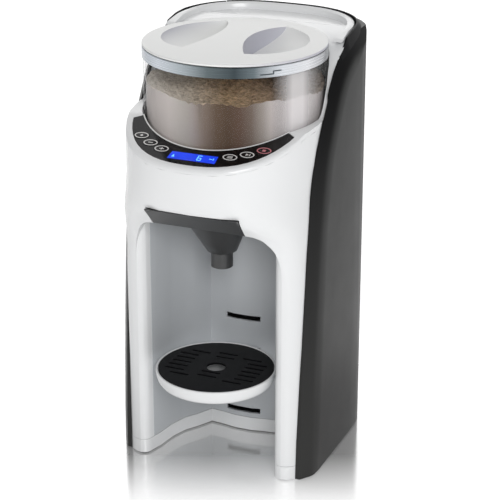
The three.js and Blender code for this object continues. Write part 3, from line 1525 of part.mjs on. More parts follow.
function powerInlet() {
  const back = rearWall - gap;
  const front = back - inlet.depth;
  const [low, high] = [inlet.bottom, inlet.bottom + inlet.height];
  const half = inlet.halfWidth;
  const wall = inlet.wall;
  const shell = block(-half, half, front, back, low, high);
  const recess = block(wall - half, half - wall, back - inlet.recess, back + overrun, low + wall, high - wall);
  const pins = [-1, 1].map((side) =>
    drumAlongY(side * half * 0.4, (low + high) / 2, inlet.pin, front + wall, back - inlet.pinBack, 16));
  return join(cut(shell, recess), ...pins);
}

// Assembly

const machine = new THREE.Group();
const centred = new THREE.Group();
centred.position.y = (frontReach - rearReach) / 2;
machine.add(centred);

function place(name, solid, finish) {
  const mesh = new THREE.Mesh(geometryOf(solid), new THREE.MeshStandardMaterial(finishes[finish]));
  mesh.name = name;
  centred.add(mesh);
}

place('base_plate', basePlate(), 'black');
footPlaces().forEach((spot, i) => place(`rubber_foot_${i + 1}`, rubberFoot(spot), 'rubber'));
screwPlaces().forEach((spot, i) => place(`base_screw_${i + 1}`, baseScrew(spot), 'steel'));
place('base_ring', baseRing(), 'white');
place('front_housing', frontHousing(), 'white');
place('bay_liner', bayLiner(), 'linerGrey');
const shell = sideShell();
place('right_side_shell', shell, 'shellGrey');
place('left_side_shell', mirrored(shell), 'shellGrey');
place('rear_cover', rearCover(), 'shellGrey');
place('top_cover', topCover(), 'white');
place('control_panel', controlPanel(), 'gloss');
place('display_window', displayWindow(), 'blue');
place('display_module', displayModule(), 'black');
place('control_board', controlBoard(), 'green');
buttonPlaces().forEach((spot, i) => place(`button_${i + 1}`, buttonCap(spot), 'gloss'));
place('hopper_seat', hopperSeat(), 'white');
place('hopper', hopperTub(), 'clear');
place('hopper_base', hopperFloor(), 'white');
place('dosing_wheel', dosingWheel(), 'silicone');
place('stirring_paddle', stirringPaddle(), 'white');
place('lid_cap', lidCap(), 'white');
place('lid_ring', lidRing(), 'silver');
place('lid_gasket', lidGasket(), 'silicone');
place('drive_gear', driveGear(), 'gear');
place('gear_axle', gearAxle(), 'steel');
place('motor_pinion', motorPinion(), 'gear');
place('drive_plate', drivePlatePiece(), 'steel');
place('powder_motor', powderMotor(), 'steel');
place('funnel_holder', funnelHolder(), 'funnelGrey');
place('mixing_funnel', funnelPiece(), 'funnelGrey');
place('water_nozzle', waterNozzle(), 'silicone');
place('drip_tray', dripTray(), 'white');
place('drip_grate', dripGrate(), 'black');
place('tray_bracket', trayBracket(), 'white');
place('chassis', chassisPiece(), 'steel');
place('tank_shelf', tankShelf(), 'shellGrey');
place('water_tank', waterTank(), 'smoke');
place('tank_lid', tankLidPiece(), 'white');
place('hinge_pin', hingePin(), 'steel');
place('tank_valve', tankValve(), 'silicone');
place('water_pump', waterPump(), 'black');
place('water_heater', waterHeater(), 'steel');
place('tank_hose', tankHose(), 'silicone');
place('pump_hose', pumpHose(), 'silicone');
place('nozzle_hose', nozzleHose(), 'silicone');
place('main_board', mainBoardPiece(), 'green');
place('power_inlet', powerInlet(), 'black');

export default machine;
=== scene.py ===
# %% [markdown]
# # A baby formula maker, dressed from its CAD frame
# The CAD file already holds every solid of the machine in its true place and size.
# This lesson loads that frame, then gives each visible piece a finer skin, a finish, light and a camera.

# %% Load the frame
import json
import math
import random

import bmesh
import bpy
from mathutils import Matrix, Vector


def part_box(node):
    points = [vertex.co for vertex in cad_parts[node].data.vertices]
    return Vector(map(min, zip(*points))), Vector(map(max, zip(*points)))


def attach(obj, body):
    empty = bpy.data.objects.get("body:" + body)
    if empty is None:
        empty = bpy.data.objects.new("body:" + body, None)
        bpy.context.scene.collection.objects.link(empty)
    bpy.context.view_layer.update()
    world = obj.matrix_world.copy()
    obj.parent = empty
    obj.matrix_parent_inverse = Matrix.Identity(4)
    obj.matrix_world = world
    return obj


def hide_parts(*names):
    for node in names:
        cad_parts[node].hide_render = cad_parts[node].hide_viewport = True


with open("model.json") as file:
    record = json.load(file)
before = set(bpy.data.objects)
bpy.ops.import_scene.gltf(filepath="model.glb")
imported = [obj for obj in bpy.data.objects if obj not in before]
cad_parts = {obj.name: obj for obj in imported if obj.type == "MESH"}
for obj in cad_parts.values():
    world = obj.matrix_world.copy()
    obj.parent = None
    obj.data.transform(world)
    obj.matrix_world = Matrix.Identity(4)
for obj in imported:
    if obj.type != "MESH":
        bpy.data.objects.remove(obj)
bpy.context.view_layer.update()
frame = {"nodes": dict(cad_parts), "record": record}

print("solids in the frame:", len(frame["nodes"]))

# %% [markdown]
# The frame is in metres. Sizes on a drawing of this machine are easier to read in millimetres,
# so one factor turns them into metres, and the upright axis of the powder hopper is read from the frame.
# Everything round the hopper, such as the lid and the crescent panel, is laid out from that axis.

# %% The hopper's axis
MM = 0.001
hopper_low, hopper_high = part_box("hopper")
hopper_axis = Vector(((hopper_low.x + hopper_high.x) / 2, (hopper_low.y + hopper_high.y) / 2, 0.0))
print("hopper axis at", [round(v / MM, 2) for v in hopper_axis])


def from_axis(x, y, z):
    """A point in millimetres, counted from the hopper's axis and the table, as a place in the frame."""
    return Vector((x * MM + hopper_axis.x, y * MM + hopper_axis.y, z * MM))


# %% [markdown]
# The photograph looks down on the machine from its right front corner with a long lens.
# A long lens keeps upright edges nearly parallel, which is why product photographs use one.
# Two level directions are kept for the finishes: towards the viewer, and to the right of the picture.

# %% Camera
EYE = from_axis(585.6, -1394.2, 785.6)
LOOK_DOWN, LOOK_LEFT = math.radians(21.435), math.radians(22.292)
TO_VIEWER = (math.sin(LOOK_LEFT), -math.cos(LOOK_LEFT), 0.0)
ACROSS = (math.cos(LOOK_LEFT), math.sin(LOOK_LEFT), 0.0)
lens = bpy.data.cameras.new("photo_lens")
lens.lens, lens.sensor_width, lens.clip_end = 127.8, 36.0, 20.0
camera = bpy.data.objects.new("photo_camera", lens)
camera.location = EYE
camera.rotation_euler = (math.pi / 2 - LOOK_DOWN, 0.0, LOOK_LEFT)
bpy.context.scene.collection.objects.link(camera)
bpy.context.scene.camera = camera
print("camera distance", round((EYE - hopper_axis).length, 3), "m")

# %% [markdown]
# ## How a finish is written
# Blender's shaders are graphs of nodes. Written out node by node they are hard to follow,
# so one small class stands for a wire between nodes and turns Python arithmetic into Math nodes,
# and a second one stands for a whole finish and adds any other kind of node.


# %% A wire that understands arithmetic
class Wire:
    """An output of a node graph, ready to be used in sums."""

    def __init__(self, graph, socket):
        self.graph, self.socket = graph, socket

    def maths(self, operation, *values):
        return self.graph.node("ShaderNodeMath", {"operation": operation}, dict(enumerate(values)))

    def __add__(self, other):
        return self.maths("ADD", self, other)

    def __radd__(self, other):
        return self.maths("ADD", other, self)

    def __sub__(self, other):
        return self.maths("SUBTRACT", self, other)

    def __rsub__(self, other):
        return self.maths("SUBTRACT", other, self)

    def __mul__(self, other):
        return self.maths("MULTIPLY", self, other)

    def __rmul__(self, other):
        return self.maths("MULTIPLY", other, self)

    def __truediv__(self, other):
        return self.maths("DIVIDE", self, other)

    def __pow__(self, other):
        return self.maths("POWER", self, other)

    def __abs__(self):
        return self.maths("ABSOLUTE", self)

    def at_least(self, other):
        return self.maths("MAXIMUM", self, other)

    def clamped(self):
        """The value held between 0 and 1, as a share has to be."""
        return self.maths("MINIMUM", self.at_least(0.0), 1.0)


# %% A graph that nodes are added to
class Graph:
    """A node tree with a short way to add nodes and join them."""

    def __init__(self, tree):
        self.tree = tree

    def join(self, socket, value):
        if isinstance(value, Wire):
            self.tree.links.new(value.socket, socket)
        else:
            socket.default_value = value

    def node(self, kind, settings=None, inputs=None, output=0):
        made = self.tree.nodes.new(kind)
        for key, value in (settings or {}).items():
            if key == "stops":
                self.set_stops(made.color_ramp, value)
            else:
                setattr(made, key, value)
        for key, value in (inputs or {}).items():
            self.join(made.inputs[key], value)
        return Wire(self, made.outputs[output])

    def set_stops(self, ramp, stops):
        while len(ramp.elements) > 1:
            ramp.elements.remove(ramp.elements[-1])
        for i, (place, colour) in enumerate(stops):
            stop = ramp.elements[0] if i == 0 else ramp.elements.new(place)
            stop.position, stop.color = place, (*colour, 1.0)

    def place(self):
        """Where a point lies on its piece, in metres."""
        return self.node("ShaderNodeTexCoord", output=3)

    def normal(self):
        """The direction in which a point of the surface faces."""
        return self.node("ShaderNodeNewGeometry", output=1)

    def towards(self, vector, direction):
        """How far a vector points along a direction."""
        settings = {"operation": "DOT_PRODUCT"}
        return self.node("ShaderNodeVectorMath", settings, {0: vector, 1: direction}, output=1)

    def noise(self, scale, detail=3.0, roughness=0.55):
        inputs = {"Vector": self.place(), "Scale": scale, "Detail": detail, "Roughness": roughness}
        return self.node("ShaderNodeTexNoise", inputs=inputs)

    def ramp(self, share, stops):
        """Colours laid out along a share, as (place, colour) stops."""
        return self.node("ShaderNodeValToRGB", {"stops": stops}, {0: share})

    def blend(self, share, first, second):
        """The first colour where the share is 0 and the second where it is 1."""
        first = (*first, 1.0) if isinstance(first, tuple) else first
        second = (*second, 1.0) if isinstance(second, tuple) else second
        inputs = {0: share, 6: first, 7: second}
        return self.node("ShaderNodeMix", {"data_type": "RGBA"}, inputs, output=2)


# %% A finish: a graph with one shader
class Finish(Graph):
    """A material with one Principled shader. A keyword names a socket, with _ for each space."""

    def __init__(self, name, colour=None, **sockets):
        self.material = bpy.data.materials.new(name)
        self.material.use_nodes = True
        super().__init__(self.material.node_tree)
        self.shader = self.tree.nodes["Principled BSDF"]
        if colour:
            self.feed("Base Color", (*colour, 1.0))
        for socket, value in sockets.items():
            self.feed(socket.replace("_", " "), value)

    def feed(self, name, value):
        self.join(self.shader.inputs[name], value)

    def vary_gloss(self, roughness, spread, scale):
        """A roughness that a noise of this scale raises by up to the spread."""
        self.feed("Roughness", roughness + self.noise(scale) * spread)

    def bump(self, height, strength, distance):
        inputs = {"Height": height, "Strength": strength, "Distance": distance}
        self.feed("Normal", self.node("ShaderNodeBump", inputs=inputs))


# %% [markdown]
# ## The white case
# The case is injection moulded plastic with a high polish. Real mouldings are never perfectly flat:
# a very slow waviness bends the reflections, and a faint variation in gloss comes from handling.
# Both are drawn with a noise texture, so nothing depends on an image file.
# The bay's liner lies in shade towards its upper right corner, so it darkens that way.

# %% White plastics
RIGHT, BACK, UP = (1.0, 0.0, 0.0), (0.0, 1.0, 0.0), (0.0, 0.0, 1.0)

white_plastic = Finish("white_plastic", (0.8, 0.808, 0.815), Coat_Weight=0.25, Coat_Roughness=0.12)
white_plastic.vary_gloss(0.2, 0.08, 26.0)
white_plastic.bump(white_plastic.noise(7.0, 1.0), 0.12, 0.002)

lid_plastic = Finish("lid_plastic", Roughness=0.4)
lid_plastic.bump(lid_plastic.noise(1400.0, 2.0), 0.05, 0.0002)
# Faces of the lid that turn to the right, such as the scoop wall beside the finger bar, get painted
# shade: their white is blended towards a grey-violet.
sideways = lid_plastic.towards(lid_plastic.normal(), RIGHT)
right_facing_painted_shade = ((sideways - 0.22) * 1.25).clamped()
lid_white_with_painted_shade = lid_plastic.blend(right_facing_painted_shade, (0.84, 0.845, 0.835), (0.48, 0.48, 0.55))
lid_plastic.feed("Base Color", lid_white_with_painted_shade)

liner_plastic = Finish("liner_plastic")
liner_plastic.vary_gloss(0.3, 0.1, 30.0)
to_right = (liner_plastic.towards(liner_plastic.place(), RIGHT) / 0.06).clamped()
upwards = ((liner_plastic.towards(liner_plastic.place(), UP) - 0.14) / 0.08).clamped()
liner_tone = liner_plastic.blend(to_right * upwards, (0.52, 0.54, 0.56), (0.12, 0.13, 0.14))
liner_plastic.feed("Base Color", liner_tone)
print("white plastics ready")

# %% [markdown]
# The side shells are one dark grey plastic. On their rounded edges a dark reflection of the room is
# painted in, so there they are nearly black, while the flat flanks stay grey, and both are painted
# darker towards the top.
# So their colour follows the way in which each point faces and how high it lies.

# %% The plastic of the side shells
shell_plastic = Finish("shell_plastic", Specular_IOR_Level=0.16)
shell_plastic.vary_gloss(0.32, 0.1, 40.0)
shell_plastic.bump(shell_plastic.noise(2600.0, 2.0), 0.08, 0.0002)
sideways = abs(shell_plastic.towards(shell_plastic.normal(), RIGHT))
squareness = sideways.at_least(shell_plastic.towards(shell_plastic.normal(), BACK))
flat = ((squareness - 0.86) * 9.0).clamped()
height = (shell_plastic.towards(shell_plastic.place(), UP) / 0.35).clamped()
# The rounded edges carry a painted dark reflection and are nearly black; edges and flanks are both
# painted darker towards the top.
painted_dark_edge_tone = shell_plastic.blend(height, (0.035, 0.035, 0.034), (0.003, 0.003, 0.0035))
flank_tone = shell_plastic.blend(height, (0.038, 0.0375, 0.037), (0.019, 0.0195, 0.019))
shell_plastic.feed("Base Color", shell_plastic.blend(flat, painted_dark_edge_tone, flank_tone))
print("nodes in the shell's finish:", len(shell_plastic.tree.nodes))

# %% [markdown]
# The funnel and its holder are charcoal, the grate and the hidden fittings black, and the gears natural
# nylon. None of them is polished, so a fine noise as a bump breaks up what they mirror.

# %% Matt plastics
charcoal_plastic = Finish("charcoal_plastic", (0.045, 0.046, 0.047), Roughness=0.34)
charcoal_plastic.bump(charcoal_plastic.noise(1800.0, 2.0), 0.06, 0.0002)
black_plastic = Finish("black_plastic", (0.005, 0.005, 0.006), Roughness=0.5, Specular_IOR_Level=0.18)
black_plastic.bump(black_plastic.noise(1500.0, 2.0), 0.08, 0.0002)
gear_plastic = Finish("gear_plastic", (0.74, 0.72, 0.64), Roughness=0.45)
gear_plastic.bump(gear_plastic.noise(900.0), 0.05, 0.0002)
print("matt plastics ready")

# %% [markdown]
# The crescent panel and its buttons are piano black: a nearly black plastic with a mirror-like polish.
# The lid's ring is lacquered silver, with fine brush lines that run round it. It mirrors a bright studio
# with a dark gap in front, and a colour ramp across the ring paints that reflection in, from left to
# right.

# %% Piano black
piano_black = Finish("piano_black", (0.005, 0.0045, 0.005), Specular_IOR_Level=0.3)
piano_black.vary_gloss(0.07, 0.05, 60.0)
button_gloss = Finish("button_gloss", (0.009, 0.008, 0.009), Specular_IOR_Level=0.35)
button_gloss.vary_gloss(0.13, 0.06, 120.0)
print("gloss blacks ready")

# %% The silver lacquer
HOPPER_RADIUS, LID_RADIUS = 81.0, 82.0
# Tones of the ring's painted reflection, from its left side to its right: bright studio at both sides,
# the dark gap in the middle.
RING_PAINTED_REFLECTION = [
    (0.0, (0.42, 0.46, 0.5)), (0.1, (0.66, 0.7, 0.76)), (0.22, (0.42, 0.47, 0.5)),
    (0.36, (0.12, 0.15, 0.16)), (0.5, (0.035, 0.05, 0.058)), (0.6, (0.12, 0.15, 0.165)),
    (0.74, (0.66, 0.69, 0.73)), (0.88, (0.82, 0.83, 0.86)), (1.0, (0.32, 0.33, 0.35)),
]


def across_hopper(finish, radius):
    """A share from 0 at the left side of a round piece on the hopper's axis to 1 at its right side."""
    middle = hopper_axis.dot(Vector(ACROSS))
    return (finish.towards(finish.place(), ACROSS) - middle) / (2 * radius * MM) + 0.5


silver_lacquer = Finish("silver_lacquer", Metallic=0.6)
stretch = {"Vector": silver_lacquer.place(), "Scale": (20.0, 20.0, 2400.0)}
stretched = silver_lacquer.node("ShaderNodeMapping", inputs=stretch)
brush_inputs = {"Vector": stretched, "Scale": 1.0, "Detail": 2.0}
brush = silver_lacquer.node("ShaderNodeTexNoise", inputs=brush_inputs)
silver_lacquer.feed("Roughness", 0.2 + brush * 0.12)
painted_ring_reflection = silver_lacquer.ramp(across_hopper(silver_lacquer, LID_RADIUS), RING_PAINTED_REFLECTION)
silver_lacquer.feed("Base Color", painted_ring_reflection)
print("tones across the ring:", len(RING_PAINTED_REFLECTION))

# %% [markdown]
# Steel, rubber, silicone and circuit board are seen when the machine is opened or lifted.
# A brick texture draws the board's tracks, because its mortar lines are straight and thin.

# %% Metal, rubber and boards
bare_steel = Finish("bare_steel", (0.52, 0.53, 0.54), Metallic=1.0)
bare_steel.vary_gloss(0.26, 0.14, 90.0)
rubber = Finish("rubber", (0.02, 0.02, 0.02), Roughness=0.85)
rubber.bump(rubber.noise(1200.0), 0.15, 0.0003)
silicone = Finish("silicone", (0.72, 0.76, 0.77), Roughness=0.5)
silicone.bump(silicone.noise(500.0), 0.05, 0.0003)

board_green = Finish("board_green", Roughness=0.45)
brick_inputs = {"Vector": board_green.place(), "Scale": 160.0, "Mortar Size": 0.03}
tracks = board_green.node("ShaderNodeTexBrick", inputs=brick_inputs, output=1)
board_green.feed("Base Color", board_green.blend(tracks, (0.012, 0.09, 0.04), (0.05, 0.2, 0.08)))
print("metal, rubber and boards ready")

# %% [markdown]
# ## Clear plastics
# The hopper is a clear cylinder. Seen square on it is nearly invisible, and towards its silhouette
# the light has to cross more plastic, so it darkens. A Layer Weight node knows how square on each point
# is seen, and it sets how much of the surface shows. A pale upright stripe stands for the bright window
# that the hopper's right side mirrors. The tank at the back is tinted smoke grey.


# %% Clear finishes
def clear_finish(name, colour, roughness):
    """A clear plastic, and a share that is 0 where it is seen square on and 1 where it is grazed."""
    finish = Finish(name, colour, Roughness=roughness, IOR=1.45)
    return finish, finish.node("ShaderNodeLayerWeight", inputs={"Blend": 0.5}, output=1)


smoke_plastic, facing = clear_finish("smoke_plastic", (0.07, 0.072, 0.075), 0.08)
smoke_plastic.feed("Alpha", (0.55 + facing**3.0 * 0.42).clamped())

clear_plastic, facing = clear_finish("clear_plastic", None, 0.04)
# A pale upright stripe on the front of the hopper is a painted reflection of a bright window, and it
# makes the plastic show more there.
from_band = abs(across_hopper(clear_plastic, HOPPER_RADIUS) - 0.83)
in_front = (clear_plastic.towards(clear_plastic.place(), TO_VIEWER) * 60.0).clamped()
painted_window_reflection = ((1.0 - from_band / 0.14) * 1.25).clamped() * in_front
clear_plastic.feed("Base Color", clear_plastic.blend(painted_window_reflection, (0.05, 0.052, 0.055), (0.9, 0.88, 0.89)))
clear_plastic.feed("Alpha", (0.05 + facing**12.0 * 0.9 + painted_window_reflection * 0.42).clamped())
print("clear plastics ready")

# %% [markdown]
# The display shines blue by itself, so its window carries an emission that wavers slowly between two
# blues, and its digit and marks are small pale blue shapes that shine more. The signs on the buttons are
# grey, rose on the last one, and a dark ink draws the catch mark on the lid's ring.

# %% Lit finishes and inks
lit_blue = Finish("lit_blue", (0.005, 0.03, 0.3), Roughness=0.2, Emission_Strength=1.0)
patches = lit_blue.noise(90.0, 1.0)
lit_blue.feed("Emission Color", lit_blue.blend(patches, (0.003, 0.02, 0.5), (0.006, 0.045, 0.78)))
lit_cyan = Finish("lit_cyan", (0.1, 0.4, 0.6), Roughness=0.4, Emission_Strength=1.0)
patches = lit_cyan.noise(300.0)
lit_cyan.feed("Emission Color", lit_cyan.blend(patches, (0.08, 0.42, 1.0), (0.2, 0.6, 1.0)))

mark_grey = Finish("mark_grey", (0.72, 0.71, 0.7))
mark_rose = Finish("mark_rose", (0.62, 0.22, 0.25))
mark_dark = Finish("mark_dark", (0.03, 0.04, 0.05))
for ink, roughness in ((mark_grey, 0.3), (mark_rose, 0.3), (mark_dark, 0.4)):
    ink.vary_gloss(roughness, 0.2, 200.0)
print("lit finishes and inks ready")

# %% [markdown]
# ## Which solid takes which finish
# Most solids keep the shape that the CAD gives them and only take a finish here.
# A table is easy to check, so each solid is listed there once.

# %% Dress the solids
WHITE = [
    "base_ring", "front_housing", "top_cover", "hopper_seat", "hopper_base", "stirring_paddle",
    "drip_tray", "tray_bracket", "tank_lid",
]
SOFT = ["dosing_wheel", "lid_gasket", "water_nozzle", "tank_valve"]
SOFT += ["tank_hose", "pump_hose", "nozzle_hose"]
STEEL = ["gear_axle", "drive_plate", "powder_motor", "chassis", "hinge_pin", "water_heater"]
GROUPS = [
    (white_plastic, WHITE),
    (lid_plastic, ["lid_cap"]),
    (liner_plastic, ["bay_liner"]),
    (shell_plastic, ["right_side_shell", "left_side_shell", "rear_cover", "tank_shelf"]),
    (charcoal_plastic, ["funnel_holder", "mixing_funnel"]),
    (black_plastic, ["base_plate", "display_module", "drip_grate", "water_pump", "power_inlet"]),
    (gear_plastic, ["drive_gear", "motor_pinion"]),
    (piano_black, ["control_panel"]),
    (button_gloss, [f"button_{number}" for number in range(1, 7)]),
    (silver_lacquer, ["lid_ring"]),
    (bare_steel, STEEL + [f"base_screw_{number}" for number in range(1, 5)]),
    (rubber, [f"rubber_foot_{number}" for number in range(1, 5)]),
    (silicone, SOFT),
    (board_green, ["control_board", "main_board"]),
    (clear_plastic, ["hopper"]),
    (smoke_plastic, ["water_tank"]),
    (lit_blue, ["display_window"]),
]
DRESS = {name: finish for finish, names in GROUPS for name in names}
for name, finish in DRESS.items():
    solid = frame["nodes"][name]
    solid.data.materials.clear()
    solid.data.materials.append(finish.material)
print("dressed", len(DRESS), "of", len(frame["nodes"]), "solids")

# %% [markdown]
# ## Skins for the moulded pieces
# A solid from the CAD has knife-sharp edges. Moulded plastic never has: light catches on a small round.
# Each visible moulding gets a copy of its mesh with its edges rounded by a Bevel modifier. The frame's
# meshes come with every face split apart, so the copy's doubled corners are merged and its flat areas
# joined first. Smoothing by angle then rounds the shading of curved faces while sharp edges stay crisp.


# %% Skins from the solids
def crisp_where_sharp(mesh, degrees):
    """Smooth shading, with edges kept crisp where two faces meet at more than this angle."""
    mesh.shade_smooth()
    mesh.set_sharp_from_angle(angle=math.radians(degrees))


SKIN = {"weld": 0.01, "flat": 0.4, "sharp": 32.0}


def clean_skin(name):
    """A welded copy of a CAD solid's mesh, flat areas merged, shaded smooth by angle."""
    mesh = frame["nodes"][name].data.copy()
    mesh.name = name + "_skin"
    body = bmesh.new()
    body.from_mesh(mesh)
    bmesh.ops.remove_doubles(body, verts=body.verts, dist=SKIN["weld"] * MM)
    flat = math.radians(SKIN["flat"])
    bmesh.ops.dissolve_limit(body, angle_limit=flat, verts=body.verts, edges=body.edges)
    body.to_mesh(mesh)
    body.free()
    for stray in ("custom_normal", "sharp_face"):
        if stray in mesh.attributes:
            mesh.attributes.remove(mesh.attributes[stray])
    crisp_where_sharp(mesh, SKIN["sharp"])
    return mesh


def body_with(name):
    """The body that a solid of the frame rides on."""
    groups = frame["record"]["behaviour"]["bodies"]
    return next(body for body, members in groups.items() if name in members)


def slot_of(name):
    """The material slot that the record gives a solid."""
    return next(part["material_slot"] for part in frame["record"]["subparts"] if part["node"] == name)


def add_piece(name, mesh, finish, body, replaced=None):
    """A new piece on its body, with a finish in its material slot; the solid that it stands for, if any,
    is hidden.
    """
    piece = bpy.data.objects.new(name, mesh)
    bpy.context.scene.collection.objects.link(piece)
    mesh.materials.clear()
    mesh.materials.append(finish.material)
    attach(piece, body)
    if replaced:
        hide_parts(replaced)
    return piece


def rounded(piece, width):
    """Rounds a piece's crisp edges by this many millimetres, as a mould does."""
    bevel = piece.modifiers.new("rounded edges", "BEVEL")
    bevel.width, bevel.segments = width * MM, 2
    bevel.limit_method, bevel.angle_limit = "ANGLE", math.radians(35.0)
    bevel.harden_normals = True
    bevel.use_clamp_overlap = True


ROUNDED = {
    "base_ring": 0.5, "top_cover": 0.5, "bay_liner": 0.3, "right_side_shell": 0.7,
    "left_side_shell": 0.7, "rear_cover": 0.4, "tank_lid": 0.6, "tray_bracket": 0.5,
    "funnel_holder": 0.5, "tank_shelf": 0.3, "front_housing": 0.6, "drip_grate": 0.25,
    "hopper_seat": 0.3, "hopper_base": 0.2,
}
for name, width in ROUNDED.items():
    mesh, body, slot = clean_skin(name), body_with(name), slot_of(name)
    rounded(add_piece(name + "_skin", mesh, DRESS[name], body, name), width)
print("rounded skins:", len(ROUNDED))

# %% [markdown]
# ## Turned pieces
# The hopper, its lid ring and the tray are round, and their silhouettes show every flat of a coarse
# mesh. They are turned again here from a short profile, with many more sides, as on a lathe.


# %% Turn a profile round the hopper's axis or another one
def circle(radius, sides, centre=(0.0, 0.0)):
    """Corners of a circle, as (x, y) in millimetres."""
    turns = [2 * math.pi * i / sides for i in range(sides)]
    return [(centre[0] + radius * math.cos(t), centre[1] + radius * math.sin(t)) for t in turns]


def join_loops(body, loops, closed=False):
    """Faces from each loop of corners to the next; a loop of one corner is a pole."""
    for below, above in zip(loops, loops[1:] + loops[:1] if closed else loops[1:]):
        sides = max(len(below), len(above))
        for i in range(sides):
            j = (i + 1) % sides
            low = [below[k % len(below)] for k in (i, j)]
            high = [above[k % len(above)] for k in (j, i)]
            body.faces.new(list(dict.fromkeys(low + high)))


def mesh_from(body, name, degrees):
    """The mesh of a finished body, its faces turned outwards and its sharp edges kept crisp."""
    bmesh.ops.recalc_face_normals(body, faces=body.faces)
    mesh = bpy.data.meshes.new(name)
    body.to_mesh(mesh)
    body.free()
    crisp_where_sharp(mesh, degrees)
    return mesh


def turned(name, profile, centre=(0.0, 0.0), sides=160, closed=True):
    """A mesh from (radius, height) points in millimetres, turned about an upright axis."""
    body = bmesh.new()
    loops = []
    for radius, height in profile:
        corners = circle(radius, sides, centre) if radius else [centre]
        loops.append([body.verts.new(from_axis(x, y, height)) for x, y in corners])
    join_loops(body, loops, closed)
    return mesh_from(body, name, 40.0)


# %% The clear hopper
HOPPER = {"wall": 2.0, "foot": 299.0, "shoulder": 376.6, "top": 385.0, "neck": 79.2}
HOPPER |= {"foot_round": 0.4, "shoulder_round": 0.6, "roof": 2.0, "slope": 2.0}


def hopper_profile():
    """The hopper's wall, shoulder and neck, from the foot up the outside and down the inside."""
    outer, neck = HOPPER_RADIUS, HOPPER["neck"]
    foot, shoulder, top = HOPPER["foot"], HOPPER["shoulder"], HOPPER["top"]
    inner, neck_in, roof = outer - HOPPER["wall"], neck - HOPPER["wall"], shoulder - HOPPER["roof"]
    foot_round, shoulder_round = HOPPER["foot_round"], HOPPER["shoulder_round"]
    return [
        (inner, foot), (outer - foot_round, foot), (outer, foot + foot_round),
        (outer, shoulder - shoulder_round), (outer - shoulder_round, shoulder), (neck, shoulder),
        (neck, top), (neck_in, top), (neck_in, roof), (inner, roof - HOPPER["slope"]),
    ]


hopper_mesh = turned("clear_hopper", hopper_profile())
add_piece("clear_hopper", hopper_mesh, clear_plastic, "hopper", "hopper")
print("hopper sides:", len(hopper_mesh.vertices) // len(hopper_profile()))

# %% [markdown]
# ## The lid
# The white cap overhangs the silver ring, with a thin dark seam between them. Its top is a low dome,
# and two scoops leave a finger bar that is drawn in at its middle. Each scoop is an ellipsoid whose
# inner side is cut by a large upright cylinder, so it is deepest along the bar and runs out at the rim.
# Booleans do this well, because both cutters stay simple bodies. The silver ring is one turned profile.

# %% Booleans on meshes
def combined(name, first, second, operation):
    """A new mesh in place of two meshes that a boolean operation combines."""
    holders = []
    for mesh in (first, second):
        holder = bpy.data.objects.new(mesh.name, mesh)
        bpy.context.scene.collection.objects.link(holder)
        holders.append(holder)
    step = holders[0].modifiers.new("step", "BOOLEAN")
    step.operation, step.solver, step.object = operation, "EXACT", holders[1]
    ready = holders[0].evaluated_get(bpy.context.evaluated_depsgraph_get())
    result = bpy.data.meshes.new_from_object(ready)
    for holder, mesh in zip(holders, (first, second)):
        bpy.data.objects.remove(holder)
        bpy.data.meshes.remove(mesh)
    result.name = name
    return result


def ellipsoid(name, centre, radii, sides=96):
    """A ball about a place in the frame, with a radius in millimetres for each axis."""
    ball = bmesh.new()
    bmesh.ops.create_uvsphere(ball, u_segments=sides, v_segments=sides // 2, radius=1.0)
    scale = Matrix.Diagonal(Vector((*[r * MM for r in radii], 1.0)))
    bmesh.ops.transform(ball, matrix=Matrix.Translation(centre) @ scale, verts=ball.verts)
    mesh = bpy.data.meshes.new(name)
    ball.to_mesh(mesh)
    ball.free()
    return mesh


# %% The lid cap with its scoops
LID = {"rim_low": 387.2, "rim_high": 389.2, "round": 0.5, "draw_in": 0.1, "edge": 0.6, "swell": 0.05}
LID |= {"dome": 6.0, "plug": 79.0, "plug_low": 386.9, "cup": 67.0, "cup_low": 373.5, "steps": 16}
SCOOP = {"bar_half": 15.0, "long": 52.0, "wide": 52.0, "deep": 17.0, "sunk": 1.0}
SCOOP |= {"waist": 96.3, "waist_low": 370.0, "waist_high": 400.0}


def lid_profile():
    """From the middle of the lid's underside, round its plug and rim and over the dome."""
    radius, low, high = LID_RADIUS, LID["rim_low"], LID["rim_high"]
    side, edge = radius - LID["draw_in"], radius - LID["edge"]
    points = [(0.0, LID["cup_low"]), (LID["cup"], LID["cup_low"]), (LID["cup"], LID["plug_low"])]
    points += [(LID["plug"], LID["plug_low"]), (LID["plug"], low), (radius - LID["round"], low)]
    points += [(side, low + LID["round"]), (side, high - LID["round"]), (edge, high + LID["swell"])]
    for step in range(1, LID["steps"] + 1):
        reach = radius * (1 - step / LID["steps"])
        points.append((reach, high + LID["dome"] * (1 - (reach / radius) ** 2)))
    return points


def scoop_cutter(side):
    """One finger scoop: the part of an ellipsoid that lies inside a large upright cylinder."""
    top = LID["rim_high"] + LID["dome"] - SCOOP["sunk"]
    radii = (SCOOP["wide"], SCOOP["long"], SCOOP["deep"])
    ball = ellipsoid("ball", from_axis(side * SCOOP["bar_half"], 0.0, top), radii)
    waist, low, high = SCOOP["waist"], SCOOP["waist_low"], SCOOP["waist_high"]
    cylinder = [(0.0, low), (waist, low), (waist, high), (0.0, high)]
    centre = (side * (SCOOP["bar_half"] + waist), 0.0)
    return combined("scoop", ball, turned("waist", cylinder, centre, 288, closed=False), "INTERSECT")


cap = turned("lid_cap_top", lid_profile(), sides=192, closed=False)
for side in (1, -1):
    cap = combined("lid_cap_top", cap, scoop_cutter(side), "DIFFERENCE")
crisp_where_sharp(cap, 30.0)
add_piece("lid_cap_top", cap, lid_plastic, "lid", "lid_cap")
print("lid cap faces:", len(cap.polygons))

# %% The silver ring
RING = {"inner": 79.8, "low": 376.9, "high": 386.4, "round": 0.4, "lip_reach": 0.9, "lip": 1.0}


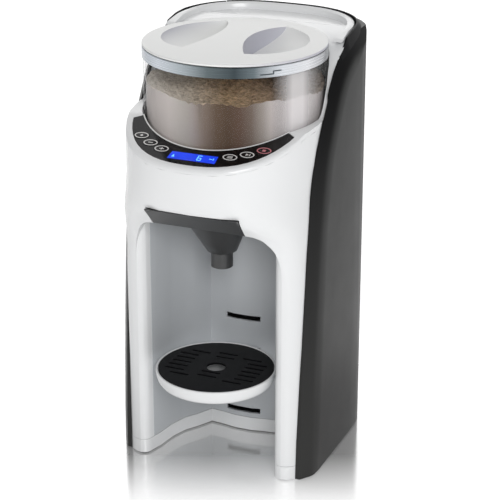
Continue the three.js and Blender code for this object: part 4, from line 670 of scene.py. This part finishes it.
def ring_profile():
    """The band of the ring with its lip, which reaches inwards at the top."""
    inner, outer, edge = RING["inner"], LID_RADIUS, RING["round"]
    low, high, lip_inner = RING["low"], RING["high"], RING["inner"] - RING["lip_reach"]
    return [
        (inner, low), (outer - edge, low), (outer, low + edge), (outer, high - edge),
        (outer - edge, high), (lip_inner, high), (lip_inner, high - RING["lip"]),
        (inner, high - RING["lip"]),
    ]


ring_mesh = turned("silver_ring", ring_profile(), sides=192)
add_piece("silver_ring", ring_mesh, silver_lacquer, "lid", "lid_ring")
print("ring height", round(RING["high"] - RING["low"], 1), "mm")

# %% [markdown]
# ## The powder
# Milk powder fills most of the hopper. Against the wall it is smooth and packed, and on top it lies in
# crumbs. Only its skin shows, so it is a hollow cap that leaves room for the paddle, and its foot steps
# inwards to stand inside the rim of the hopper's base. Sines and a little chance shape the heap, and the
# seed is set so that it falls alike each time.

# %% The powder's finish on top, with painted light and shade
POWDER = {"radius": 78.6, "level": 352.0, "crown": 3.0}
POWDER |= {"foot": 309.6, "foot_radius": 76.0, "foot_low": 303.6, "wall_top": 342.0}
# Across the hopper the top goes from pale at the left to brown in the middle and pale again at the
# right: the powder's own beige, with painted light at the sides and painted shade in the middle.
TOP_BEIGE_AND_PAINTED_LIGHT = [
    (0.0, (1.0, 0.93, 0.85)), (0.25, (1.0, 0.88, 0.74)), (0.45, (0.86, 0.6, 0.35)),
    (0.7, (0.8, 0.57, 0.38)), (1.0, (0.9, 0.78, 0.68)),
]
powder = Finish("powder_top", Roughness=0.95)
crumbs = powder.noise(190.0, 6.0, 0.72)
pale = powder.ramp(across_hopper(powder, POWDER["radius"]), TOP_BEIGE_AND_PAINTED_LIGHT)
to_middle = (across_hopper(powder, POWDER["radius"]) * 2.2).clamped()
fine = ((crumbs - 0.28 - to_middle * 0.1) * 4.2).clamped()
# The hollows between the crumbs get painted shade, a dark brown that grows stronger away from the left
# side.
painted_crumb_shade = powder.blend(0.12 + to_middle * 0.54, pale, (0.11, 0.062, 0.03))
powder.feed("Base Color", powder.blend(fine, painted_crumb_shade, pale))
powder.bump(crumbs, 0.9, 0.004)
print("tones across the powder:", len(TOP_BEIGE_AND_PAINTED_LIGHT))

# %% The powder's finish against the wall, with painted light and shade
# Across the hopper the packed wall goes from pale beige at the left to dark brown in the middle and
# nearly white at the right: the powder's own beige, with painted shade in the middle and a painted
# reflection at the right.
WALL_BEIGE_AND_PAINTED_LIGHT = [
    (0.0, (0.62, 0.57, 0.55)), (0.14, (0.7, 0.64, 0.61)), (0.204, (0.56, 0.52, 0.48)),
    (0.27, (0.42, 0.37, 0.34)), (0.333, (0.24, 0.185, 0.15)), (0.4, (0.13, 0.085, 0.055)),
    (0.4625, (0.095, 0.056, 0.033)), (0.527, (0.12, 0.072, 0.05)), (0.59, (0.18, 0.135, 0.11)),
    (0.656, (0.38, 0.34, 0.31)), (0.72, (0.68, 0.62, 0.61)), (0.785, (0.86, 0.79, 0.78)),
    (1.0, (0.82, 0.76, 0.75)),
]
packed = Finish("powder_side", Roughness=0.9)
packed.feed("Base Color", packed.ramp(across_hopper(packed, POWDER["radius"]), WALL_BEIGE_AND_PAINTED_LIGHT))
packed.bump(packed.noise(500.0), 0.15, 0.0005)
print("tones across the wall:", len(WALL_BEIGE_AND_PAINTED_LIGHT))

# %% The heap
random.seed(7)
HEAP = {"lift": 1.5, "mound": 2.2, "swell": 1.2, "lump": 1.1, "chance": 0.5}


def powder_top(x, y):
    """How high the powder lies at a place: a mound, a swell, lumps and a little chance."""
    mound = HEAP["mound"] * math.sin(x * 0.05 + 1.0) * math.cos(y * 0.06)
    swell = HEAP["swell"] * math.sin(x * 0.13 + y * 0.09)
    ripple = x * 0.9 + 2 * math.sin(y * 0.7)
    lump = HEAP["lump"] * math.sin(ripple) * math.cos(y * 0.8 + math.sin(x * 0.6))
    chance = random.uniform(-HEAP["chance"], HEAP["chance"])
    return POWDER["level"] + HEAP["lift"] + (mound + swell) + lump + chance


def powder_heap(name, sides=144, rings=60):
    """A crumbly top with a wall under it, open below."""
    body = bmesh.new()
    loops = [[body.verts.new(from_axis(0.0, 0.0, POWDER["level"] + POWDER["crown"]))]]
    for ring in range(1, rings + 1):
        places = circle(POWDER["radius"] * ring / rings, sides)
        loops.append([body.verts.new(from_axis(x, y, powder_top(x, y))) for x, y in places])
    wall = [(POWDER["radius"], POWDER["foot"]), (POWDER["foot_radius"], POWDER["foot"])]
    for radius, level in wall + [(POWDER["foot_radius"], POWDER["foot_low"])]:
        loops.append([body.verts.new(from_axis(x, y, level)) for x, y in circle(radius, sides)])
    join_loops(body, loops)
    return mesh_from(body, name, 60.0)


heap = add_piece("powder_fill", powder_heap("powder_fill"), powder, "hopper")
heap.data.materials.append(packed.material)
for face in heap.data.polygons:
    low = min(heap.data.vertices[i].co.z for i in face.vertices)
    face.material_index = 1 if low < POWDER["wall_top"] * MM else 0
print("powder heap faces:", len(heap.data.polygons))

# %% [markdown]
# ## Buttons, display and marks
# The crescent panel slopes towards the person who uses it. A matrix carries flat outlines onto that
# slope, so that each button can be drawn as if it lay flat on the table. The buttons sit on an arc round
# the hopper, and all of them face straight forwards.
# Every button has a gloss cap, an inlaid ring in it and a plain sign in the middle.

# %% Outlines on the panel's slope
PANEL = {"rise": 0.34, "level": 314.0, "reach": 93.0}


def panel_height(y):
    """The height of the panel's face this far behind the hopper's axis."""
    return PANEL["level"] + PANEL["rise"] * (HOPPER_RADIUS + y)


slope_place = Matrix.Translation(from_axis(0.0, -PANEL["reach"], panel_height(-PANEL["reach"])))
slope = slope_place @ Matrix.Rotation(math.atan(PANEL["rise"]), 4, "X")


def on_panel(arc):
    """The matrix of a place on the panel, this many millimetres round the arc of the buttons."""
    turn = arc / PANEL["reach"]
    x, y = PANEL["reach"] * math.sin(turn), -PANEL["reach"] * math.cos(turn)
    local = slope.inverted() @ from_axis(x, y, panel_height(y))
    return slope @ Matrix.Translation((local.x, local.y, 0.0))


def oval(width, depth, sides=48):
    return [(width / 2 * x, depth / 2 * y) for x, y in circle(1.0, sides)]


def stacked(name, layers, matrix, hole=False):
    """A solid through flat (outline, height) layers in millimetres; with a hole it becomes a band."""
    body = bmesh.new()
    loops = []
    for outline, z in layers:
        loops.append([body.verts.new(matrix @ (Vector((x, y, z)) * MM)) for x, y in outline])
    join_loops(body, loops, closed=hole)
    if not hole:
        body.faces.new(loops[0])
        body.faces.new(loops[-1])
    return mesh_from(body, name, 45.0)


print("panel slope", round(math.degrees(math.atan(PANEL["rise"])), 1), "degrees")

# %% Button caps with inlaid rings
BUTTON = {"width": 14.2, "depth": 9.6, "top": 0.5, "foot": -5.1}
INLAY = {"inset": 0.6, "width": 1.0, "sunk": 0.1, "proud": 0.04}
CAP_STEPS = [(0.0, BUTTON["foot"]), (0.0, 0.15), (-0.1, 0.32), (-0.3, 0.44), (-0.6, BUTTON["top"])]
ARCS = [-61.4, -46.85, -32.3, 32.3, 46.85, 61.4]
INKS = [mark_grey] * (len(ARCS) - 1) + [mark_rose]


def button_oval(grow):
    return oval(BUTTON["width"] + 2 * grow, BUTTON["depth"] + 2 * grow)


def inlay_layers():
    """The section of the inlaid ring, round from its inner lower corner."""
    outer = button_oval(-INLAY["inset"])
    inner = button_oval(-INLAY["inset"] - INLAY["width"])
    low, high = BUTTON["top"] - INLAY["sunk"], BUTTON["top"] + INLAY["proud"]
    return [(inner, low), (outer, low), (outer, high), (inner, high)]


for number, (arc, ink) in enumerate(zip(ARCS, INKS), 1):
    name, matrix = f"button_{number}", on_panel(arc)
    cap = stacked(name + "_cap", [(button_oval(grow), z) for grow, z in CAP_STEPS], matrix)
    add_piece(name + "_cap", cap, button_gloss, name, name)
    inlay = stacked(name + "_ring", inlay_layers(), matrix, hole=True)
    add_piece(name + "_ring", inlay, ink, name)
print("buttons:", len(ARCS))

# %% Plain signs on the buttons
SIGN = {"sunk": 0.05, "proud": 0.05, "step": 0.01}
TRIANGLE = [(-1.2, -1.5), (1.6, 0.0), (-1.2, 1.5)]


def bar(x, y, width, height):
    """A rectangle about a point."""
    w, h = width / 2, height / 2
    return [(x - w, y - h), (x + w, y - h), (x + w, y + h), (x - w, y + h)]


SIGNS = {
    1: [[(-1.3, -0.8), (1.3, -0.8), (0.0, 1.9)], oval(2.6, 2.2, 20)],
    2: [bar(0.0, 0.0, 4.4, 0.8)],
    3: [bar(0.0, 0.0, 4.4, 0.8), bar(0.0, 0.0, 0.8, 3.2)],
    4: [bar(0.0, 1.2, 4.8, 0.6), bar(0.0, 0.0, 4.8, 0.6), bar(0.0, -1.2, 4.8, 0.6)],
    5: [TRIANGLE, bar(2.4, 0.0, 0.7, 3.0)],
    6: [bar(0.0, 0.0, 3.0, 2.6)],
}
for number, shapes in SIGNS.items():
    matrix = on_panel(ARCS[number - 1])
    for i, shape in enumerate(shapes):
        name = f"button_{number}_sign_{i + 1}"
        low, high = BUTTON["top"] - SIGN["sunk"], BUTTON["top"] + SIGN["proud"] + SIGN["step"] * i
        sign = stacked(name, [(shape, low), (shape, high)], matrix)
        add_piece(name, sign, INKS[number - 1], f"button_{number}")
print("signs:", sum(len(shapes) for shapes in SIGNS.values()))

# %% The digit and marks of the display
DIGIT = {"x": 6.0, "width": 3.2, "height": 6.2, "stroke": 0.8}
LIT = {"sunk": 0.1, "proud": 0.05, "step": 0.005}
SMALL_MARKS = [
    [(-19.4, -2.4), (-16.6, -2.4), (-18.0, 1.2)], bar(16.2, 0.4, 2.6, 0.7), bar(18.6, 0.4, 0.7, 2.4),
]


def digit_six():
    """The six bars that a seven-bar digit lights for a six."""
    x, width, high, stroke = DIGIT["x"], DIGIT["width"], DIGIT["height"] / 2, DIGIT["stroke"]
    left, right = x - width / 2, x + width / 2
    level = [bar(x, y, width, stroke) for y in (high, 0.0, -high)]
    upright = [(left, high / 2), (left, -high / 2), (right, -high / 2)]
    return level + [bar(x, y, stroke, high) for x, y in upright]


lit_shapes = digit_six() + SMALL_MARKS
for i, shape in enumerate(lit_shapes):
    name = f"lit_mark_{i + 1}"
    mark = stacked(name, [(shape, -LIT["sunk"]), (shape, LIT["proud"] + LIT["step"] * i)], slope)
    add_piece(name, mark, lit_cyan, "body")
print("lit marks:", len(lit_shapes))

# %% [markdown]
# ## Fine edges
# Three thin details draw the outlines of the machine. A pale lip runs round the well that the hopper
# stands in. The dark side shells rise to the top of the deck's rim in a rounded crest, and a dark lip
# carries that line on over the tank's lid at the back. All are narrow bands that follow a path, so one
# function builds them.


# %% Bands along a path
def band_along(name, corners):
    """A bar with four corners at each place on its path, closed at both ends; corners in millimetres."""
    body = bmesh.new()
    loops = [[body.verts.new(from_axis(*corner)) for corner in four] for four in corners]
    join_loops(body, loops)
    body.faces.new(loops[0])
    body.faces.new(loops[-1])
    return mesh_from(body, name, 45.0)


# %% The lip of the hopper's well
LIP = {"inner": 81.4, "outer": 82.4, "low": -2.0, "high": 0.2, "half_turn": 57.0, "steps": 96}


def lip_section(turn):
    """The lip's four corners at an angle from the front, a little under and over the panel's face."""
    section = []
    for edge, lifts in (("inner", ("low", "high")), ("outer", ("high", "low"))):
        x, y = LIP[edge] * math.sin(turn), -LIP[edge] * math.cos(turn)
        section += [(x, y, panel_height(y) + LIP[lift]) for lift in lifts]
    return section


half, steps = LIP["half_turn"], LIP["steps"]
turns = [math.radians(-half + 2 * half * step / steps) for step in range(steps + 1)]
well_lip = band_along("well_lip", [lip_section(turn) for turn in turns])
add_piece("well_lip", well_lip, lid_plastic, "body")
print("places along the well's lip:", len(turns))

# %% The dark edge of the deck
DECK = {"half": 86.2, "centre": 50.0, "span": 85.1, "power": 2.6, "front": 30.0, "middle": 59.6}
DECK |= {"steps": 480, "straight": 24}
CREST = {"inside": 0.4, "sunk": 1.0, "over": 0.9, "fall": 0.3, "outside": 4.0}
LID_EDGE = {"low": 386.7, "high": 392.6, "thick": 1.0}
SHELL_TOP = [(30.0, 376.1), (44.0, 382.0), (65.0, 386.5), (94.0, 388.0), (140.0, 388.0)]
RIM_TOP = [(30.0, 376.3), (38.0, 380.6), (48.0, 388.6), (65.0, 391.4), (80.0, 392.4), (140.0, 392.4)]
SHELL_SLOPE = [(30.0, -6.0), (65.0, -5.1), (87.0, -0.3), (140.0, -0.3)]


def at_reach(table, y):
    """The height at this reach, on straight lines between a table's (reach, height) pairs."""
    for (y0, z0), (y1, z1) in zip(table, table[1:]):
        if y <= y1:
            return z0 + (z1 - z0) * (y - y0) / (y1 - y0)
    return table[-1][1]


def deck_place(step, grow=0.0):
    """A place on the deck's edge: straight beside the hopper, then round the back along an oval."""
    steps, straight = DECK["steps"], DECK["straight"]
    beside = min(step, steps - step)
    side = 1 if step < steps / 2 else -1
    if beside < straight:
        y = DECK["front"] + (DECK["centre"] - DECK["front"]) * beside / straight
        return side * (DECK["half"] + grow), y
    turn = math.pi * (step - straight) / (steps - 2 * straight)
    x = (DECK["half"] + grow) * abs(math.cos(turn)) ** (2 / DECK["power"])
    y = (DECK["span"] + grow) * abs(math.sin(turn)) ** (2 / DECK["power"])
    return side * x, DECK["centre"] + y


def crest_section(step):
    """From the deck's rim, over the crest and down onto the shell's sloping shoulder."""
    y = deck_place(step)[1]
    shell, rim, shoulder = at_reach(SHELL_TOP, y), at_reach(RIM_TOP, y), at_reach(SHELL_SLOPE, y)
    corners = [(-CREST["inside"], shell - CREST["sunk"]), (-CREST["inside"], rim)]
    corners += [(CREST["over"], rim - CREST["fall"]), (CREST["outside"], shell + shoulder)]
    return [(*deck_place(step, grow), z) for grow, z in corners]


def lid_edge_section(step):
    """A thin strip along the edge of the tank's lid."""
    low, high, thick = LID_EDGE["low"], LID_EDGE["high"], LID_EDGE["thick"]
    corners = [(0.0, low), (0.0, high), (-thick, high), (-thick, low)]
    return [(*deck_place(step, grow), z) for grow, z in corners]


crests, lid_edge = ([], []), []
for step in range(DECK["steps"] + 1):
    x = deck_place(step)[0]
    if abs(x) < DECK["middle"]:
        lid_edge.append(lid_edge_section(step))
    else:
        crests[0 if x > 0 else 1].append(crest_section(step))
for number, sections in enumerate(crests, 1):
    crest_mesh = band_along(f"shell_crest_{number}", sections)
    add_piece(f"shell_crest_{number}", crest_mesh, black_plastic, "body")
add_piece("tank_lid_lip", band_along("tank_lid_lip", lid_edge), black_plastic, "tank_lid")
print("places along the crests and the lid's edge:", len(crests[0]), len(crests[1]), len(lid_edge))

# %% [markdown]
# A small dark catch mark on the lid's ring shows how far the lid turns to lock. It is three thin raised
# strips that join into a step, as a strip can follow the ring and needs no picture.

# %% A catch mark on the silver ring
MARK = {"sunk": 0.1, "proud": 0.06, "steps": 8}
MARKS = [(37.5, 45.5, 379.4, 380.4), (45.4, 46.2, 379.4, 382.8), (46.1, 51.0, 381.8, 382.8)]


def mark_section(turn, low, high):
    """Four corners across a strip on the ring, at an angle counted from the front to the right."""
    inner, outer = LID_RADIUS - MARK["sunk"], LID_RADIUS + MARK["proud"]
    ways = [(inner, low), (outer, low), (outer, high), (inner, high)]
    return [(radius * math.sin(turn), -radius * math.cos(turn), z) for radius, z in ways]


for number, (first, last, low, high) in enumerate(MARKS, 1):
    angles = [first + (last - first) * step / MARK["steps"] for step in range(MARK["steps"] + 1)]
    sections = [mark_section(math.radians(angle), low, high) for angle in angles]
    strip = band_along(f"catch_mark_{number}", sections)
    add_piece(f"catch_mark_{number}", strip, mark_dark, "lid")
print("strips of the catch mark:", len(MARKS))

# %% [markdown]
# ## Tray and funnel
# The tray is a round dish with a rolled rim. The funnel leans back from the wide mouth in the drawer
# to a narrow spout, so its rings are circles with shifting centres.

# %% The dish
TRAY = {"radius": 55.3, "centre": 47.1, "top": 95.0, "height": 14.4, "floor": 2.0}
DISH_SHARES = [
    (0.0, 0.0), (0.8, 0.0), (0.85, 0.15), (0.9, 0.9), (0.93, 2.0), (0.955, 3.8), (0.975, 6.0),
    (0.992, 10.0),
]
RIM_STEPS = [(0.0, -0.8), (0.15, -0.2), (0.5, 0.0), (1.6, 0.0), (2.0, -0.3), (2.1, -2.6), (4.0, -2.6)]
INNER_FOOT = {"share": 0.86, "rise": 3.5}


def dish_profile():
    """Up the outside by shares of the radius, over the rolled rim by insets, and down the inside."""
    radius, low = TRAY["radius"], TRAY["top"] - TRAY["height"]
    outside = [(radius * share, low + rise) for share, rise in DISH_SHARES]
    rim = [(radius - inset, TRAY["top"] + drop) for inset, drop in RIM_STEPS]
    inside = [(radius * INNER_FOOT["share"], low + INNER_FOOT["rise"]), (0.0, low + TRAY["floor"])]
    return outside + rim + inside


dish_mesh = turned("tray_dish", dish_profile(), (0.0, -TRAY["centre"]), 144, closed=False)
add_piece("tray_dish", dish_mesh, white_plastic, "drip_tray", "drip_tray")
print("dish height", TRAY["height"], "mm")

# %% The funnel
funnel_low, funnel_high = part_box("mixing_funnel")
rim_level = funnel_high.z / MM
spout_level = funnel_low.z / MM
FUNNEL = {"rim": 35.5, "rim_height": 1.6, "mouth": 33.0, "mouth_inner": 31.2, "neck": 14.0}
FUNNEL |= {"neck_inner": 12.2, "collar": 10.6, "spout": 10.0, "tip": 9.6, "bore": 8.2, "length": 16.0}
FUNNEL |= {"mouth_reach": 44.0, "spout_reach": 32.0, "steps": 4}
SPOUT_STEPS = {"collar": 1.2, "spout": 1.8, "tip": 0.4, "neck": 0.5}


def funnel_rings():
    """Rings as (radius, level, reach to the front), down the outside and up the inside."""
    wide, narrow = FUNNEL["mouth_reach"], FUNNEL["spout_reach"]
    mouth, neck = rim_level - FUNNEL["rim_height"], spout_level + FUNNEL["length"]
    rings = [(FUNNEL["rim"], rim_level, wide), (FUNNEL["rim"], mouth, wide)]
    for step in range(FUNNEL["steps"] + 1):
        share = step / FUNNEL["steps"]
        radius = FUNNEL["mouth"] + (FUNNEL["neck"] - FUNNEL["mouth"]) * share
        rings.append((radius, mouth + (neck - mouth) * share, wide + (narrow - wide) * share))
    spout = [
        ("collar", neck - SPOUT_STEPS["collar"]), ("spout", neck - SPOUT_STEPS["spout"]),
        ("spout", spout_level + SPOUT_STEPS["tip"]), ("tip", spout_level), ("bore", spout_level),
        ("bore", neck), ("neck_inner", neck + SPOUT_STEPS["neck"]),
    ]
    rings += [(FUNNEL[part], level, narrow) for part, level in spout]
    return rings + [(FUNNEL["mouth_inner"], rim_level, wide)]


def leaning_rings(name, rings, sides=96):
    """A closed skin through level circles, each with its own reach to the front."""
    body = bmesh.new()
    loops = []
    for radius, level, reach in rings:
        corners = circle(radius, sides, (0.0, -reach))
        loops.append([body.verts.new(from_axis(x, y, level)) for x, y in corners])
    join_loops(body, loops, closed=True)
    return mesh_from(body, name, 35.0)


cone = leaning_rings("funnel_cone", funnel_rings())
add_piece("funnel_cone", cone, charcoal_plastic, "funnel_drawer", "mixing_funnel")
print("funnel from", round(spout_level, 1), "to", round(rim_level, 1), "mm above the table")

# %% [markdown]
# ## Floor, room light and lamp
# A product photograph is lit by large soft lamps against white paper. The floor is pale and glossy under
# the machine, so that its foot mirrors there. Away from the machine it glows evenly white; near it its
# colour and glow are dimmed, which paints shade round the foot, and the mirror image and the painted
# shade fade out a hand's width further on.

# %% Floor
FLOOR_HALF = 6.0
MIRROR_AND_SHADE = {"front": 0.05, "front_fade": 0.085, "round": 0.19, "round_fade": 0.13, "metallic": 0.72}
floor_finish = Finish("pale_floor", Emission_Strength=0.36)
floor_finish.vary_gloss(0.1, 0.05, 3.0)
forwards = floor_finish.towards(floor_finish.place(), TO_VIEWER)
length = {"operation": "LENGTH"}
outwards = floor_finish.node("ShaderNodeVectorMath", length, {0: floor_finish.place()}, output=1)
before = 1.0 - ((forwards - MIRROR_AND_SHADE["front"]) / MIRROR_AND_SHADE["front_fade"]).clamped()
near = 1.0 - ((outwards - MIRROR_AND_SHADE["round"]) / MIRROR_AND_SHADE["round_fade"]).clamped()
# Near the machine the floor's colour and glow are dimmed, which paints shade round its foot, while the
# metallic share gives a real mirror image.
mirror_and_painted_shade = before * near
floor_finish.feed("Metallic", mirror_and_painted_shade * MIRROR_AND_SHADE["metallic"])
floor_finish.feed("Base Color", floor_finish.blend(mirror_and_painted_shade, (0.95, 0.95, 0.95), (0.68, 0.68, 0.68)))
floor_finish.feed("Emission Color", floor_finish.blend(mirror_and_painted_shade, (1.0, 1.0, 1.0), (0.22, 0.22, 0.22)))
floor_mesh = bpy.data.meshes.new("pale_floor")
floor_corners = [(x * FLOOR_HALF, y * FLOOR_HALF, 0.0) for x, y in ((-1, -1), (1, -1), (1, 1), (-1, 1))]
floor_mesh.from_pydata(floor_corners, [], [(0, 1, 2, 3)])
floor_mesh.materials.append(floor_finish.material)
floor = bpy.data.objects.new("pale_floor", floor_mesh)
bpy.context.scene.collection.objects.link(floor)
print("floor", 2 * FLOOR_HALF, "m wide")

# %% [markdown]
# The room round the machine is a soft glow that is strongest behind it, and weak at both sides, overhead
# and in front, where the photographer stands. Each glow is the share of a direction that points its way,
# raised to a power, so a higher power gives a narrower glow. The view transform keeps white paper white.

# %% Room light
BASE_GLOW = 0.3
GLOWS = [
    ((-0.38, 0.86, 0.36), 6.0, 1.5), ((0.96, -0.2, 0.1), 3.0, 0.2), ((-0.84, -0.54, 0.1), 6.0, 0.2),
    (UP, 2.0, 0.15),
]
world = bpy.data.worlds.new("white_studio")
bpy.context.scene.world = world
world.use_nodes = True
room = Graph(world.node_tree)
direction = room.node("ShaderNodeTexCoord", output=0)
strength = BASE_GLOW
for way, power, amount in GLOWS:
    facing = room.towards(direction, tuple(Vector(way).normalized()))
    strength = strength + facing.clamped() ** power * amount
sky = world.node_tree.nodes["Background"]
sky.inputs["Color"].default_value = (1.0, 1.0, 1.0, 1.0)
room.join(sky.inputs["Strength"], strength)
bpy.context.scene.view_settings.view_transform = "Standard"
print("glows in the room:", len(GLOWS))

# %% [markdown]
# One large lamp stands to the right in front, higher than the machine, as a softbox would. Its size
# softens the shadows, and it gives the white front its gentle fall from light to shade.

# %% Key lamp
KEY = {"place": Vector((1.0, -1.8, 1.2)), "target": Vector((0.0, 0.0, 0.2)), "size": 0.9, "power": 20.5}
key_light = bpy.data.lights.new("key_lamp", "AREA")
key_light.shape, key_light.size, key_light.energy = "SQUARE", KEY["size"], KEY["power"]
key_lamp = bpy.data.objects.new("key_lamp", key_light)
key_lamp.location = KEY["place"]
key_lamp.rotation_euler = (KEY["target"] - KEY["place"]).to_track_quat("-Z", "Y").to_euler()
bpy.context.scene.collection.objects.link(key_lamp)
print("key lamp", round((KEY["target"] - KEY["place"]).length, 2), "m from the machine")
